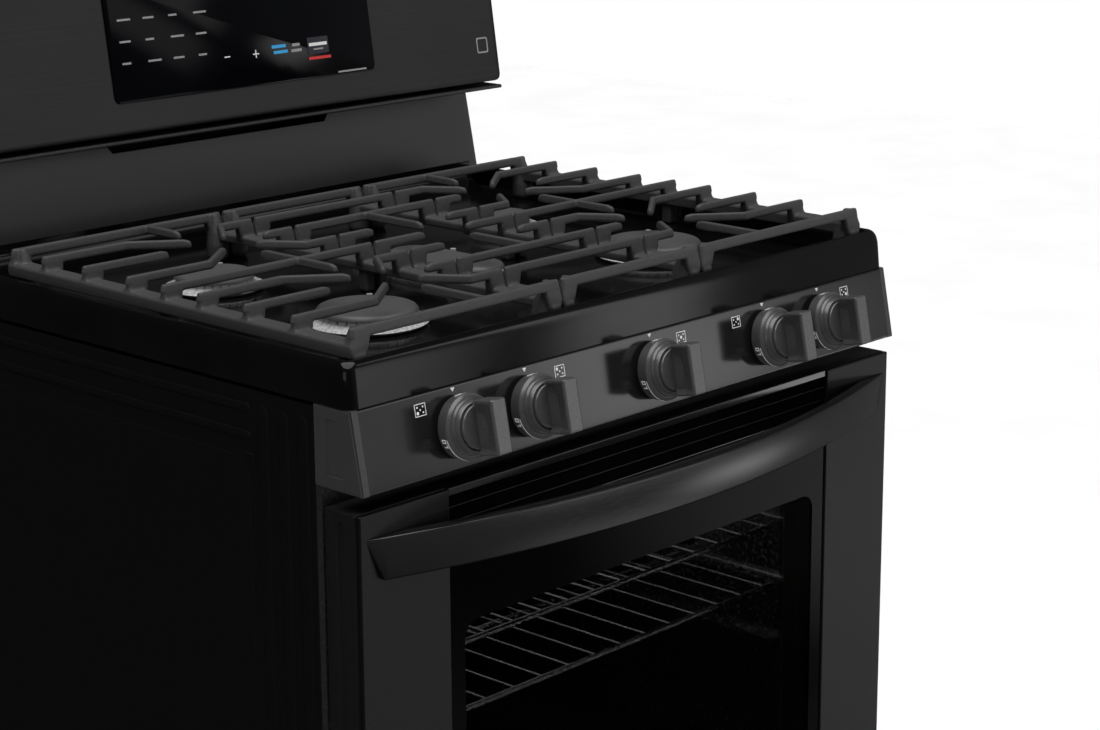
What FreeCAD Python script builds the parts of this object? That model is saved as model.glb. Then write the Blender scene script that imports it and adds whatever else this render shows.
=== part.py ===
import FreeCAD
import Part
import Sketcher
import math
import os
import re

# Freestanding gas range, 30 inch class, in millimetres.
# The floor is Z = 0, the front faces -Y, +X is to the right as seen from the front,
# and the origin is the centre of the outline on the floor.

doc = FreeCAD.newDocument("GasRange")

# ---------------------------------------------------------------- driving sizes
SIZES = [
    # overall
    ("range_width", 759.0), ("range_depth", 735.0),
    ("skin", 1.2), ("side_inset", 1.5), ("seat_gap", 0.3),
    # stack of heights, from the floor up
    ("foot_height", 28.0), ("kick_height", 34.0), ("drawer_height", 156.0), ("drawer_gap", 11.0),
    ("door_height", 561.0), ("panel_gap", 17.5), ("panel_height", 72.5), ("cooktop_height", 40.0),
    ("guard_height", 288.0),
    # stack of depths, from the front of the handle back
    ("handle_reach", 62.5), ("door_depth", 44.0), ("seal_gap", 3.0), ("frame_depth", 7.0),
    ("panel_lean", 14.0), ("panel_step", 5.9), ("rear_inset", 15.5), ("screw_head", 2.0),
    # oven
    ("oven_width", 622.0), ("oven_height", 508.0), ("oven_depth", 478.0), ("oven_sill", 33.0),
    ("collar_depth", 30.0), ("insulation", 25.0), ("floor_lift", 32.0),
    ("rack_wire", 6.0), ("rack_low", 275.0), ("rack_step", 67.0), ("rack_depth", 430.0),
    ("gasket_in", 4.0), ("gasket_out", 13.0), ("gasket_low", 9.0), ("guide_ledge", 12.0), ("guide_plate", 1.5), ("ledge_height", 3.0),
    # door
    ("column_width", 106.0), ("column_depth", 6.0), ("rail_height", 60.0), ("vent_height", 45.0),
    ("glass_thick", 4.0), ("glass_setback", 3.0), ("window_width", 524.0), ("window_height", 346.0),
    ("window_sill", 93.0), ("hinge_x", 330.0), ("hinge_rise", 23.0), ("hinge_setback", 22.0),
    ("pin_radius", 4.0), ("run_fit", 0.06), ("ear_width", 6.0), ("ear_slot", 9.0), ("door_chamfer", 14.0),
    ("handle_width", 742.0), ("handle_height", 38.5), ("handle_drop", 22.0), ("handle_thick", 14.0),
    ("handle_foot", 41.0), ("handle_rake", 16.0),
    # drawer
    ("drawer_front_depth", 18.0), ("drawer_box_width", 660.0), ("drawer_box_depth", 470.0),
    ("drawer_box_height", 112.0), ("drawer_floor", 16.0), ("runner_width", 12.0),
    # control panel, valves and knobs
    ("cap_width", 8.5), ("knob_outer_x", 260.5), ("knob_inner_x", 170.5),
    ("knob_radius", 29.5), ("skirt_length", 15.0), ("knob_gap", 4.0), ("knob_travel", 3.2),
    ("boss_radius", 24.5), ("boss_length", 6.0), ("grip_width", 18.0), ("grip_height", 31.0),
    ("stem_radius", 3.5), ("stem_clear", 1.5), ("valve_radius", 13.0), ("valve_depth", 28.0),
    ("manifold_radius", 9.5), ("valve_front", 10.0),
    # cooktop, burners and grates
    ("lip_width", 10.0), ("recess_depth", 24.0), ("top_lean", 5.0), ("burner_x", 202.0),
    ("front_burner_y", -128.0), ("rear_burner_y", 91.0), ("middle_burner_y", -26.0),
    ("power_radius", 48.0), ("standard_radius", 40.0), ("simmer_radius", 33.0), ("plus_radius", 51.0),
    ("oval_radius", 28.0), ("oval_length", 88.0), ("cap_thick", 6.0), ("head_height", 12.0),
    ("igniter_gap", 12.0), ("igniter_radius", 3.0), ("igniter_lift", 3.0),
    ("tube_radius", 4.0), ("grate_height", 48.0), ("grate_seam", 99.0), ("grate_reach", 360.0),
    ("finger_width", 8.5), ("finger_depth", 9.0), ("grate_rail", 32.0), ("rail_width", 18.0),
    ("rail_thick", 14.0), ("grate_gap", 1.0),
    ("row_front", -274.2), ("row_one", -203.0), ("row_two", -140.0), ("row_three", -77.0), ("row_four", -26.0),
    ("row_five", 25.0), ("row_six", 91.0), ("row_seven", 154.0), ("row_rear", 204.4),
    ("straight_inner", 136.0), ("bend_inner", 142.0), ("bend_outer", 261.0), ("bend_in_x", 27.0),
    ("bend_out_x", 48.0), ("bend_y", 38.0), ("spine_x", 195.0), ("spine_front", 78.0), ("spine_middle", 51.0),
    ("spine_rear", 50.0), ("stub_length", 44.0), ("short_end", 32.0), ("tine_front", 76.0), ("tine_rear", 82.0),
    # backguard
    ("guard_lower", 97.0), ("guard_setback", 65.5), ("guard_lean", 20.0), ("shelf_thick", 4.0),
    ("shelf_gap", 5.0), ("box_setback", 105.5), ("box_lean", 28.0), ("guard_side", 2.5),
    ("touch_width", 360.0), ("touch_height", 118.0), ("touch_thick", 2.0), ("slot_width", 320.0),
    ("slot_height", 15.0), ("slot_margin", 4.0), ("slot_slant", 12.0), ("cover_depth", 13.5),
    # feet and services
    ("foot_radius", 18.0), ("foot_pad", 9.0), ("foot_shaft", 5.0), ("foot_x", 335.0),
    ("foot_front", 45.0), ("foot_back", 55.0), ("inlet_radius", 9.3), ("inlet_length", 15.0),
    ("inlet_x", 290.0), ("inlet_height", 110.0), ("regulator_size", 50.0),
]

# ---------------------------------------------------------------- places worked out from the sizes
LAYOUT = [
    ("half", "range_width / 2"),
    ("front", "-range_depth / 2"),
    ("rear", "range_depth / 2"),
    ("door_front", "front + handle_reach"),
    ("door_back", "door_front + door_depth"),
    ("frame_front", "door_back + seal_gap"),
    ("side_front", "frame_front + frame_depth"),
    ("body_rear", "rear - rear_inset"),
    ("side_face", "half - side_inset"),
    ("inner", "side_face - skin"),
    ("base", "foot_height"),
    ("drawer_base", "base + kick_height"),
    ("drawer_top", "drawer_base + drawer_height"),
    ("door_base", "drawer_top + drawer_gap"),
    ("door_top", "door_base + door_height"),
    ("panel_base", "door_top + panel_gap"),
    ("panel_top", "panel_base + panel_height"),
    ("lip_top", "panel_top + cooktop_height"),
    ("range_top", "lip_top + guard_height"),
    ("deck", "lip_top - recess_depth"),
    # oven
    ("oven_half", "oven_width / 2"),
    ("oven_base", "door_base + oven_sill"),
    ("oven_top", "oven_base + oven_height"),
    ("oven_back", "side_front + oven_depth"),
    ("liner_half", "oven_half + skin + seat_gap"),
    ("liner_base", "oven_base - skin - seat_gap"),
    ("liner_top", "oven_top + skin + seat_gap"),
    ("collar_back", "side_front + collar_depth"),
    ("floor_z", "oven_base + floor_lift"),
    ("rack_half", "liner_half - guide_plate - seat_gap - rack_wire"),
    ("rack_front", "side_front + 20"),
    # door
    ("door_half", "half - 1"),
    ("column_inner", "door_half - column_width"),
    ("rail_top", "door_base + rail_height"),
    ("vent_base", "door_top - vent_height"),
    ("pan_front", "door_front + column_depth"),
    ("window_half", "window_width / 2"),
    ("window_base", "door_base + window_sill"),
    ("window_top", "window_base + window_height"),
    ("hinge_y", "door_front + hinge_setback"),
    ("hinge_z", "door_base + hinge_rise"),
    ("handle_bow", "handle_reach"),
    ("handle_half", "handle_width / 2"),
    ("handle_top", "door_top - handle_drop"),
    ("handle_base", "handle_top - handle_height"),
    ("outer_bow_radius", "(handle_half ^ 2 + handle_bow ^ 2) / (2 * handle_bow)"),
    ("inner_bow", "handle_bow - handle_thick"),
    ("inner_half", "handle_half - handle_foot"),
    ("inner_bow_radius", "(inner_half ^ 2 + inner_bow ^ 2) / (2 * inner_bow)"),
    # drawer
    ("drawer_front_back", "door_front + drawer_front_depth"),
    ("box_half", "drawer_box_width / 2"),
    ("box_base", "base + skin + drawer_floor"),
    ("box_top", "box_base + drawer_box_height"),
    ("runner_x", "box_half + seat_gap"),
    ("runner_top", "box_base + 60"),
    # control panel: the face leans back by panel_lean over its height
    ("panel_front", "door_front - panel_step"),
    ("panel_upper", "panel_front + panel_lean"),
    ("panel_slope", "sqrt(panel_height ^ 2 + panel_lean ^ 2)"),
    ("face_cos", "panel_height / panel_slope"),
    ("face_sin", "panel_lean / panel_slope"),
    ("face_angle", "90 - atan(panel_lean / panel_height) / 1 deg"),
    ("knob_y", "panel_front + panel_lean / 2"),
    ("knob_z", "panel_base + panel_height / 2"),
    ("panel_half", "half - cap_width"),
    ("manifold_off", "valve_front + valve_depth + manifold_radius"),
    ("manifold_y", "knob_y + manifold_off * face_cos"),
    ("manifold_z", "knob_z - manifold_off * face_sin"),
    # cooktop and backguard
    ("top_half", "half - 0.5"),
    ("top_front", "panel_upper"),
    ("recess_front", "top_front + top_lean + lip_width"),
    ("recess_half", "top_half - lip_width"),
    ("guard_front", "rear - guard_setback"),
    ("guard_z", "lip_top + guard_lower"),
    ("guard_upper", "guard_front + guard_lean"),
    ("shelf_z", "guard_z + shelf_thick"),
    ("box_z", "shelf_z + shelf_gap"),
    ("box_front", "rear - box_setback"),
    ("box_upper", "box_front + box_lean"),
    ("guard_half", "half - guard_side"),
    ("cover_back", "rear - screw_head"),
    ("cover_front", "cover_back - cover_depth"),
    ("cap_base", "deck + head_height"),
    ("cap_top", "cap_base + cap_thick"),
    ("grate_top", "deck + grate_height"),
    ("foot_front_y", "side_front + foot_front"),
    ("foot_back_y", "body_rear - foot_back"),
]

sheet = doc.addObject("Spreadsheet::Sheet", "Sizes")
for row, (alias, value) in enumerate(SIZES, start=1):
    sheet.set("A%d" % row, alias)
    sheet.set("B%d" % row, str(value))
    sheet.setAlias("B%d" % row, alias)
doc.recompute()

layout = doc.addObject("App::VarSet", "Layout")
HOME = {alias: "Sizes." + alias for alias, value in SIZES}


def link(text):
    """Turn bare size and place names into references to the sheet and the layout."""
    return re.sub(r"[a-z][a-z_0-9]*", lambda word: HOME.get(word.group(0), word.group(0)), str(text))


for place, formula in LAYOUT:
    layout.addProperty("App::PropertyFloat", place)
    layout.setExpression(place, link(formula))
    HOME[place] = "Layout." + place
doc.recompute()


def read(place):
    """The number behind a size or a place."""
    if HOME[place].startswith("Layout."):
        return float(getattr(layout, place))
    return float(sheet.get(place))


# ---------------------------------------------------------------- modelling helpers
nodes = []


def bind(item, **formulas):
    for prop, text in formulas.items():
        item.setExpression(prop.replace("__", "."), link(text))
    return item


def place(item, x="0", y="0", z="0"):
    return bind(item, Placement__Base__x=x, Placement__Base__y=y, Placement__Base__z=z)


def node(item, name):
    """Name a finished sub-part."""
    item.Label = name
    nodes.append(item)
    return item


def block(x0, x1, y0, y1, z0, z1):
    box = doc.addObject("Part::Box", "Block")
    bind(box, Length="(%s) - (%s)" % (x1, x0), Width="(%s) - (%s)" % (y1, y0), Height="(%s) - (%s)" % (z1, z0))
    return place(box, x0, y0, z0)


def wide_block(half_width, y0, y1, z0, z1):
    return block("-(%s)" % half_width, half_width, y0, y1, z0, z1)


TURN = {"X": (FreeCAD.Vector(0, 1, 0), 90), "Y": (FreeCAD.Vector(1, 0, 0), -90), "Z": (FreeCAD.Vector(0, 0, 1), 0)}


def rod(radius, length, x, y, z, along="Z"):
    """A cylinder that starts at x, y, z and runs along a row axis."""
    item = doc.addObject("Part::Cylinder", "Rod")
    item.Placement = FreeCAD.Placement(FreeCAD.Vector(0, 0, 0), FreeCAD.Rotation(*TURN[along]))
    bind(item, Radius=radius, Height=length)
    return place(item, x, y, z)


def face_rod(radius, length, x, start):
    """A cylinder square to the panel face at x, from start mm in front of the face, going out."""
    item = doc.addObject("Part::Cylinder", "FaceRod")
    item.Placement = FreeCAD.Placement(FreeCAD.Vector(0, 0, 0), FreeCAD.Rotation(FreeCAD.Vector(1, 0, 0), 80))
    bind(item, Radius=radius, Height=length, Placement__Rotation__Angle="face_angle")
    return place(item, x, "knob_y - (%s) * face_cos" % start, "knob_z + (%s) * face_sin" % start)


def cut(base, *tools):
    item = doc.addObject("Part::Cut", "Cut")
    item.Base = base
    item.Tool = tools[0] if len(tools) == 1 else group(*tools)
    return item


def fuse(*parts):
    item = doc.addObject("Part::MultiFuse", "Fuse")
    item.Shapes = list(parts)
    item.Refine = True
    return item


def common(base, tool):
    item = doc.addObject("Part::Common", "Common")
    item.Base = base
    item.Tool = tool
    return item


def group(*parts):
    item = doc.addObject("Part::Compound", "Group")
    item.Links = list(parts)
    return item


def mirrored(source):
    item = doc.addObject("Part::Mirroring", "Mirror")
    item.Source = source
    item.Normal = FreeCAD.Vector(1, 0, 0)
    return item


def outline(body, plane, points):
    """A closed sketch with each corner held by two bound distances from the origin."""
    sketch = body.newObject("Sketcher::SketchObject", "Outline")
    sketch.AttachmentSupport = [(next(f for f in body.Origin.OriginFeatures if f.Role == plane), "")]
    sketch.MapMode = "FlatFace"
    count = len(points)
    spots = []
    for k in range(count):
        turn = 2 * math.pi * k / count
        spots.append(FreeCAD.Vector(50 * math.cos(turn), 50 * math.sin(turn), 0))
    for k in range(count):
        sketch.addGeometry(Part.LineSegment(spots[k], spots[(k + 1) % count]))
    for k in range(count):
        sketch.addConstraint(Sketcher.Constraint("Coincident", k, 2, (k + 1) % count, 1))
    for k, (across, up) in enumerate(points):
        for kind, start, text in (("DistanceX", spots[k].x, across), ("DistanceY", spots[k].y, up)):
            index = sketch.addConstraint(Sketcher.Constraint(kind, -1, 1, k, 1, start))
            sketch.setExpression("Constraints[%d]" % index, link(text))
    return sketch


def prism_x(points, x0, x1):
    """An outline in Y and Z, padded from x0 to x1."""
    body = doc.addObject("PartDesign::Body", "Profile")
    pad = body.newObject("PartDesign::Pad", "Pad")
    pad.Profile = outline(body, "YZ_Plane", points)
    bind(pad, Length="(%s) - (%s)" % (x1, x0))
    return place(body, x=x0)


def prism_y(points, y0, y1):
    """An outline in X and Z, padded from y1 forwards to y0."""
    body = doc.addObject("PartDesign::Body", "Profile")
    pad = body.newObject("PartDesign::Pad", "Pad")
    pad.Profile = outline(body, "XZ_Plane", points)
    bind(pad, Length="(%s) - (%s)" % (y1, y0))
    return place(body, y=y1)


def turned(points):
    """An outline in radius and Z, turned about the Z axis."""
    body = doc.addObject("PartDesign::Body", "Turned")
    sketch = outline(body, "XZ_Plane", points)
    feature = body.newObject("PartDesign::Revolution", "Revolution")
    feature.Profile = sketch
    feature.ReferenceAxis = (sketch, ["V_Axis"])
    feature.Angle = 360
    return body


def plain(shape, name):
    """A sub-part whose shape is set directly from the layout's numbers."""
    item = doc.addObject("Part::Feature", "Shape")
    item.Shape = shape
    return node(item, name)


def bar(start, end, width, z0, z1):
    """A straight upright-sided bar from start to end (x, y), with square ends."""
    run = FreeCAD.Vector(end[0] - start[0], end[1] - start[1], 0)
    side = FreeCAD.Vector(-run.y, run.x, 0).normalize() * (width / 2)
    a = FreeCAD.Vector(start[0], start[1], z0)
    b = FreeCAD.Vector(end[0], end[1], z0)
    loop = Part.makePolygon([a + side, b + side, b - side, a - side, a + side])
    return Part.Face(loop).extrude(FreeCAD.Vector(0, 0, z1 - z0))


def wire_rod(start, end, radius):
    run = FreeCAD.Vector(*end) - FreeCAD.Vector(*start)
    return Part.makeCylinder(radius, run.Length, FreeCAD.Vector(*start), run)


def joined(shapes):
    return shapes[0].multiFuse(shapes[1:]).removeSplitter()


# ---------------------------------------------------------------- cabinet
def side_panel():
    """Pressed sheet side with a raised field."""
    sheet_part = block("-side_face", "-inner", "side_front", "body_rear", "base", "panel_top")
    field = block("-half", "-side_face", "side_front + 40", "body_rear - 60", "base + 60", "panel_top - 60")
    return fuse(sheet_part, field)


left_side = node(side_panel(), "side_panel_left")
node(mirrored(left_side), "side_panel_right")

node(wide_block("inner", "body_rear - skin", "body_rear", "inlet_height + regulator_size", "panel_top"),
     "back_panel")

feet_at = [(sx, y) for sx in ("-foot_x", "foot_x") for y in ("foot_front_y", "foot_back_y")]


def base_pan():
    tray = wide_block("inner", "side_front + 12", "body_rear - skin", "base", "base + skin")
    kick = wide_block("inner", "side_front + 12", "side_front + 12 + skin", "base + skin", "box_base - 4")
    bosses = [block("%s - 14" % x, "%s + 14" % x, "%s - 14" % y, "%s + 14" % y, "base + skin", "box_base - 2")
              for x, y in feet_at]
    bores = [rod("foot_shaft + run_fit", "30", x, y, "base - 2") for x, y in feet_at]
    return cut(fuse(tray, kick, *bosses), *bores)


node(base_pan(), "base_pan")


def foot(x, y):
    body = turned([("0", "0"), ("foot_radius", "0"), ("foot_radius", "foot_pad - 2"), ("12", "foot_pad"),
                   ("foot_shaft", "foot_pad"), ("foot_shaft", "box_base - 3"), ("0", "box_base - 3")])
    return place(body, x, y)


node(group(*[foot(x, y) for x, y in feet_at]), "levelling_feet")


def front_frame():
    """Face frame with the oven opening, its collar and the drawer opening."""
    plate = wide_block("side_face", "frame_front", "side_front", "base", "panel_base")
    mouth = wide_block("oven_half", "frame_front - 1", "side_front + 1", "oven_base", "oven_top")
    drawer_mouth = wide_block("box_half + 20", "frame_front - 1", "side_front + 1", "box_base - 3", "drawer_top - 6")
    collar = cut(wide_block("oven_half + skin", "side_front", "collar_back", "oven_base - skin", "oven_top + skin"),
                 wide_block("oven_half", "side_front - 1", "collar_back + 1", "oven_base", "oven_top"))
    return fuse(cut(plate, mouth, drawer_mouth), collar)


node(front_frame(), "front_frame")


def oven_cavity():
    outer = wide_block("liner_half + skin", "side_front", "oven_back + skin", "liner_base - skin",
                       "liner_top + skin")
    hollow = wide_block("liner_half", "side_front - 1", "oven_back", "liner_base", "liner_top")
    return cut(outer, hollow)


node(oven_cavity(), "oven_cavity")


def oven_insulation():
    gap = "skin + seat_gap"
    outer = wide_block("liner_half + %s + insulation" % gap, "side_front + 2", "oven_back + %s + insulation" % gap,
                       "liner_base - (%s) - insulation" % gap, "liner_top + %s + insulation" % gap)
    hollow = wide_block("liner_half + %s" % gap, "side_front + 1", "oven_back + %s" % gap,
                        "liner_base - (%s)" % gap, "liner_top + %s" % gap)
    return cut(outer, hollow)


node(oven_insulation(), "oven_insulation")

node(fuse(wide_block("liner_half - seat_gap", "collar_back + 2", "oven_back - seat_gap", "floor_z", "floor_z + skin"),
          wide_block("liner_half - seat_gap", "collar_back + 2", "collar_back + 2 + skin", "liner_base",
                     "floor_z")), "oven_floor")


def loop_burner(half_x, y0, y1, z, radius, count):
    """A flat serpentine of straight burner tubes, fed from the rear wall."""
    step = 2 * half_x / (count - 1)
    parts = []
    for k in range(count):
        x = -half_x + k * step
        parts.append(wire_rod((x, y0, z), (x, y1, z), radius))
    parts.append(wire_rod((-half_x, y0, z), (half_x, y0, z), radius))
    parts.append(wire_rod((0, y1 - radius, z), (0, read("oven_back"), z), radius))
    parts.append(wire_rod((-half_x, y1, z), (half_x, y1, z), radius))
    return joined(parts)


plain(loop_burner(read("oven_half") * 0.6, read("collar_back") + 60, read("oven_back") - 60,
                  read("oven_base") + read("floor_lift") / 2, 8.0, 2), "bake_burner")
plain(loop_burner(read("oven_half") * 0.35, read("collar_back") + 60, read("oven_back") - 60,
                  read("oven_top") - 22, 8.0, 4), "broil_burner")


def rack_guides():
    """A wall strip with a ledge under each rack position."""
    strip = block("-liner_half", "-(liner_half - guide_plate)", "collar_back + 4", "oven_back - 4",
                  "floor_z + 30", "oven_top - 30")
    ledges = []
    for level in range(-1, 4):
        top = "oven_base + rack_low + %d * rack_step - rack_wire / 2 - seat_gap" % level
        ledges.append(block("-(liner_half - guide_plate)", "-(liner_half - guide_plate - guide_ledge)",
                            "collar_back + 4", "oven_back - 4", "%s - ledge_height" % top, top))
    left = fuse(strip, *ledges)
    return group(left, mirrored(left))


node(rack_guides(), "rack_guides")


def oven_rack(level, name):
    """Welded wire shelf: a round border, cross wires and shelf wires with turned-up front ends."""
    radius = read("rack_wire") / 2
    thin = radius * 0.6
    half = read("rack_half") + radius
    y0 = read("rack_front")
    y1 = y0 + read("rack_depth")
    z = read("oven_base") + read("rack_low") + level * read("rack_step")
    parts = [wire_rod((-half, y0 + radius, z), (half, y0 + radius, z), radius),
             wire_rod((-half, y1 - radius, z), (half, y1 - radius, z), radius),
             wire_rod((-half, y0 + radius, z), (-half, y1 - radius, z), radius),
             wire_rod((half, y0 + radius, z), (half, y1 - radius, z), radius)]
    for share in (1 / 3.0, 2 / 3.0):
        y = y0 + share * (y1 - y0)
        parts.append(wire_rod((-half, y, z), (half, y, z), radius * 0.9))
    count = 16
    for k in range(1, count):
        x = -half + 2 * half * k / count
        parts.append(wire_rod((x, y0 + radius, z + thin), (x, y1 - radius, z + thin), thin))
    corners = [Part.makeSphere(radius, FreeCAD.Vector(x, y, z))
               for x in (-half, half) for y in (y0 + radius, y1 - radius)]
    plain(joined(parts + corners), name)


oven_rack(0, "oven_rack_lower")
oven_rack(1, "oven_rack_upper")

lamp = turned([("0", "0"), ("24", "0"), ("24", "6"), ("17", "6"), ("17", "24"), ("10", "34"), ("0", "36")])
lamp.Placement = FreeCAD.Placement(FreeCAD.Vector(0, 0, 0), FreeCAD.Rotation(FreeCAD.Vector(1, 0, 0), 90))
node(place(lamp, "-oven_half + 80", "oven_back", "oven_top - 70"), "oven_lamp")


def door_gasket():
    """Seal on the door's inner face, all of it above the hinge pins so that it swings clear of the frame."""
    outer = wide_block("oven_half + gasket_out", "door_back", "frame_front - seat_gap", "oven_base - gasket_low",
                       "oven_top + gasket_out")
    inner = wide_block("oven_half + gasket_in", "door_back - 1", "frame_front", "oven_base - gasket_in",
                       "oven_top + gasket_in")
    return cut(outer, inner)


node(door_gasket(), "door_gasket")


# ---------------------------------------------------------------- door
def door_liner():
    """Inner pan of the door, open to the front, with hinge blocks in its lower corners."""
    profile = [("pan_front", "door_base"), ("door_back - door_chamfer + 1", "door_base"),
               ("door_back", "door_base + door_chamfer"), ("door_back", "door_top"), ("pan_front", "door_top")]
    hollow = [("pan_front - 1", "door_base + skin"), ("door_back - door_chamfer", "door_base + skin"),
              ("door_back - skin", "door_base + door_chamfer + skin"), ("door_back - skin", "door_top - skin"),
              ("pan_front - 1", "door_top - skin")]
    pan = cut(prism_x(profile, "-door_half", "door_half"), prism_x(hollow, "-door_half + skin", "door_half - skin"))
    window = wide_block("window_half", "door_back - 10", "door_back + 1", "window_base", "window_top")
    blocks = []
    slots = []
    bores = []
    for side in ("-hinge_x", "hinge_x"):
        blocks.append(block("%s - 14" % side, "%s + 14" % side, "pan_front", "hinge_y + 8",
                            "door_base + skin", "hinge_z + 12"))
        slots.append(block("%s - ear_slot / 2" % side, "%s + ear_slot / 2" % side, "hinge_y - 11", "door_back + 1",
                           "door_base - 1", "hinge_z + 11"))
        bores.append(rod("pin_radius + run_fit", "26", "%s - 13" % side, "hinge_y", "hinge_z", "X"))
    return cut(fuse(pan, *blocks), window, *slots, *bores)


node(door_liner(), "door_liner")


def door_hinges():
    """Two ears welded to the face frame, each with the pin the door turns on."""
    ears = []
    for side in ("-hinge_x", "hinge_x"):
        ear = fuse(block("%s - ear_width / 2" % side, "%s + ear_width / 2" % side, "hinge_y", "frame_front",
                         "hinge_z - 7", "hinge_z + 7"),
                   rod("8", "ear_width", "%s - ear_width / 2" % side, "hinge_y", "hinge_z", "X"),
                   rod("pin_radius", "24", "%s - 12" % side, "hinge_y", "hinge_z", "X"))
        ears.append(ear)
    return group(*ears)


node(door_hinges(), "door_hinges")


def tray(x0, x1, z0, z1):
    """A shallow pressed skin, open to the rear."""
    outer = block(x0, x1, "door_front", "pan_front", z0, z1)
    hollow = block("%s + skin" % x0, "%s - skin" % x1, "door_front + skin", "pan_front + 1", "%s + skin" % z0,
                   "%s - skin" % z1)
    return cut(outer, hollow)


node(fuse(tray("-door_half", "-column_inner", "door_base", "door_top"),
          tray("column_inner", "door_half", "door_base", "door_top"),
          tray("-column_inner", "column_inner", "door_base", "rail_top")), "door_skin")


def door_vent_trim():
    """Recessed grille with long slots above the glass."""
    plate = wide_block("column_inner - seat_gap", "door_front + 2", "pan_front", "vent_base", "door_top")
    slots = [wide_block("column_inner - 12", "door_front + 1", "pan_front + 1",
                        "vent_base + 3 + %d * 11.5" % k, "vent_base + 3 + %d * 11.5 + 8.5" % k) for k in range(3)]
    return cut(plate, *slots)


node(door_vent_trim(), "door_vent_trim")
node(wide_block("column_inner - seat_gap", "door_front + glass_setback - 1", "door_front + glass_setback - 1 + glass_thick",
                "rail_top + seat_gap", "vent_base - seat_gap"), "door_glass_outer")
node(wide_block("window_half + 12", "door_back - skin - glass_thick", "door_back - skin",
                "window_base - 12", "window_top + 12"), "door_glass_inner")


def door_handle():
    """Flat bow-shaped bar: the crescent between two arcs, with raked ends."""
    outer = rod("outer_bow_radius", "handle_height", "0", "front + outer_bow_radius", "handle_base")
    inner = rod("inner_bow_radius", "handle_height + 2", "0", "front + handle_thick + inner_bow_radius",
                "handle_base - 1")
    slab = wide_block("handle_half", "front", "door_front", "handle_base", "handle_top")
    crescent = cut(common(outer, slab), inner)
    rake = prism_y([("handle_half + 1", "handle_top"), ("handle_half - handle_rake", "handle_base - 1"),
                    ("handle_half + 1", "handle_base - 1")], "front - 1", "door_front + 1")
    return cut(crescent, rake, mirrored(rake))


node(door_handle(), "door_handle")


# ---------------------------------------------------------------- storage drawer
def drawer_front():
    outer = wide_block("door_half", "door_front", "drawer_front_back", "drawer_base", "drawer_top")
    hollow = wide_block("door_half - skin", "door_front + skin", "drawer_front_back + 1", "drawer_base + skin",
                        "drawer_top - skin")
    return cut(outer, hollow)


node(drawer_front(), "drawer_front")


def drawer_box():
    back = "drawer_front_back + drawer_box_depth"
    outer = wide_block("box_half", "drawer_front_back", back, "box_base", "box_top")
    hollow = wide_block("box_half - skin", "drawer_front_back + skin", back + " - skin", "box_base + skin",
                        "box_top + 1")
    inner_front = wide_block("door_half", "drawer_front_back", "drawer_front_back + skin", "drawer_base", "drawer_top")
    flange = block("box_half", "box_half + runner_width", "side_front + 4", back, "runner_top + seat_gap",
                   "runner_top + seat_gap + 3")
    return fuse(cut(outer, hollow), inner_front, flange, mirrored(flange))


node(drawer_box(), "drawer_box")


def drawer_rails():
    rail = fuse(block("runner_x", "runner_x + runner_width", "side_front + 14", "foot_back_y",
                      "runner_top - 3", "runner_top"),
                block("runner_x + runner_width - 2", "runner_x + runner_width", "side_front + 14", "foot_back_y",
                      "box_base - 2", "runner_top"))
    return group(rail, mirrored(rail))


node(drawer_rails(), "drawer_rails")


# ---------------------------------------------------------------- control panel, gas train and knobs
KNOBS = [("left_front", "-knob_outer_x"), ("left_rear", "-knob_inner_x"), ("centre", "0"),
         ("right_rear", "knob_inner_x"), ("right_front", "knob_outer_x")]


def panel_outline(inset, back):
    return [("panel_front + %s" % inset, "panel_base + %s" % inset),
            ("side_front + %s" % back, "panel_base + %s" % inset),
            ("side_front + %s" % back, "panel_top - %s" % inset),
            ("panel_upper + %s" % inset, "panel_top - %s" % inset)]


def control_panel():
    channel = cut(prism_x(panel_outline("0", "0"), "-panel_half", "panel_half"),
                  prism_x(panel_outline("skin", "1"), "-panel_half - 1", "panel_half + 1"))
    return cut(channel, *[face_rod("stem_radius + stem_clear", "12", x, "-6") for name, x in KNOBS])


node(control_panel(), "control_panel")


def panel_end_cap():
    shell = cut(prism_x(panel_outline("0", "0"), "-half", "-panel_half"),
                prism_x(panel_outline("skin", "1"), "-half + skin", "-panel_half + 1"))
    return shell


left_cap = panel_end_cap()
node(group(left_cap, mirrored(left_cap)), "panel_end_caps")

node(group(*[cut(face_rod("valve_radius", "valve_depth", x, "-valve_front - valve_depth"),
                 face_rod("stem_radius + run_fit", "valve_depth", x, "-valve_front - valve_depth + 6"))
             for name, x in KNOBS]), "gas_valves")


def gas_manifold():
    """Manifold pipe behind the valves, and the supply pipe down to the regulator."""
    radius = read("manifold_radius")
    y = read("manifold_y") + 0.5
    z = read("manifold_z")
    half = read("inner")
    drop_x = half - 22
    back_y = read("body_rear") - 40
    low_z = read("inlet_height") + read("regulator_size") / 2
    thin = radius * 0.7
    pipe = [wire_rod((-half, y, z), (half, y, z), radius),
            wire_rod((drop_x, y, z), (drop_x, back_y, z), thin),
            Part.makeSphere(thin, FreeCAD.Vector(drop_x, back_y, z)),
            wire_rod((drop_x, back_y, z), (drop_x, back_y, low_z), thin),
            Part.makeSphere(thin, FreeCAD.Vector(drop_x, back_y, low_z)),
            wire_rod((drop_x, back_y, low_z),
                     (read("inlet_x") + read("regulator_size") / 2, back_y, low_z), thin)]
    plain(joined(pipe), "gas_manifold")


gas_manifold()

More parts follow.
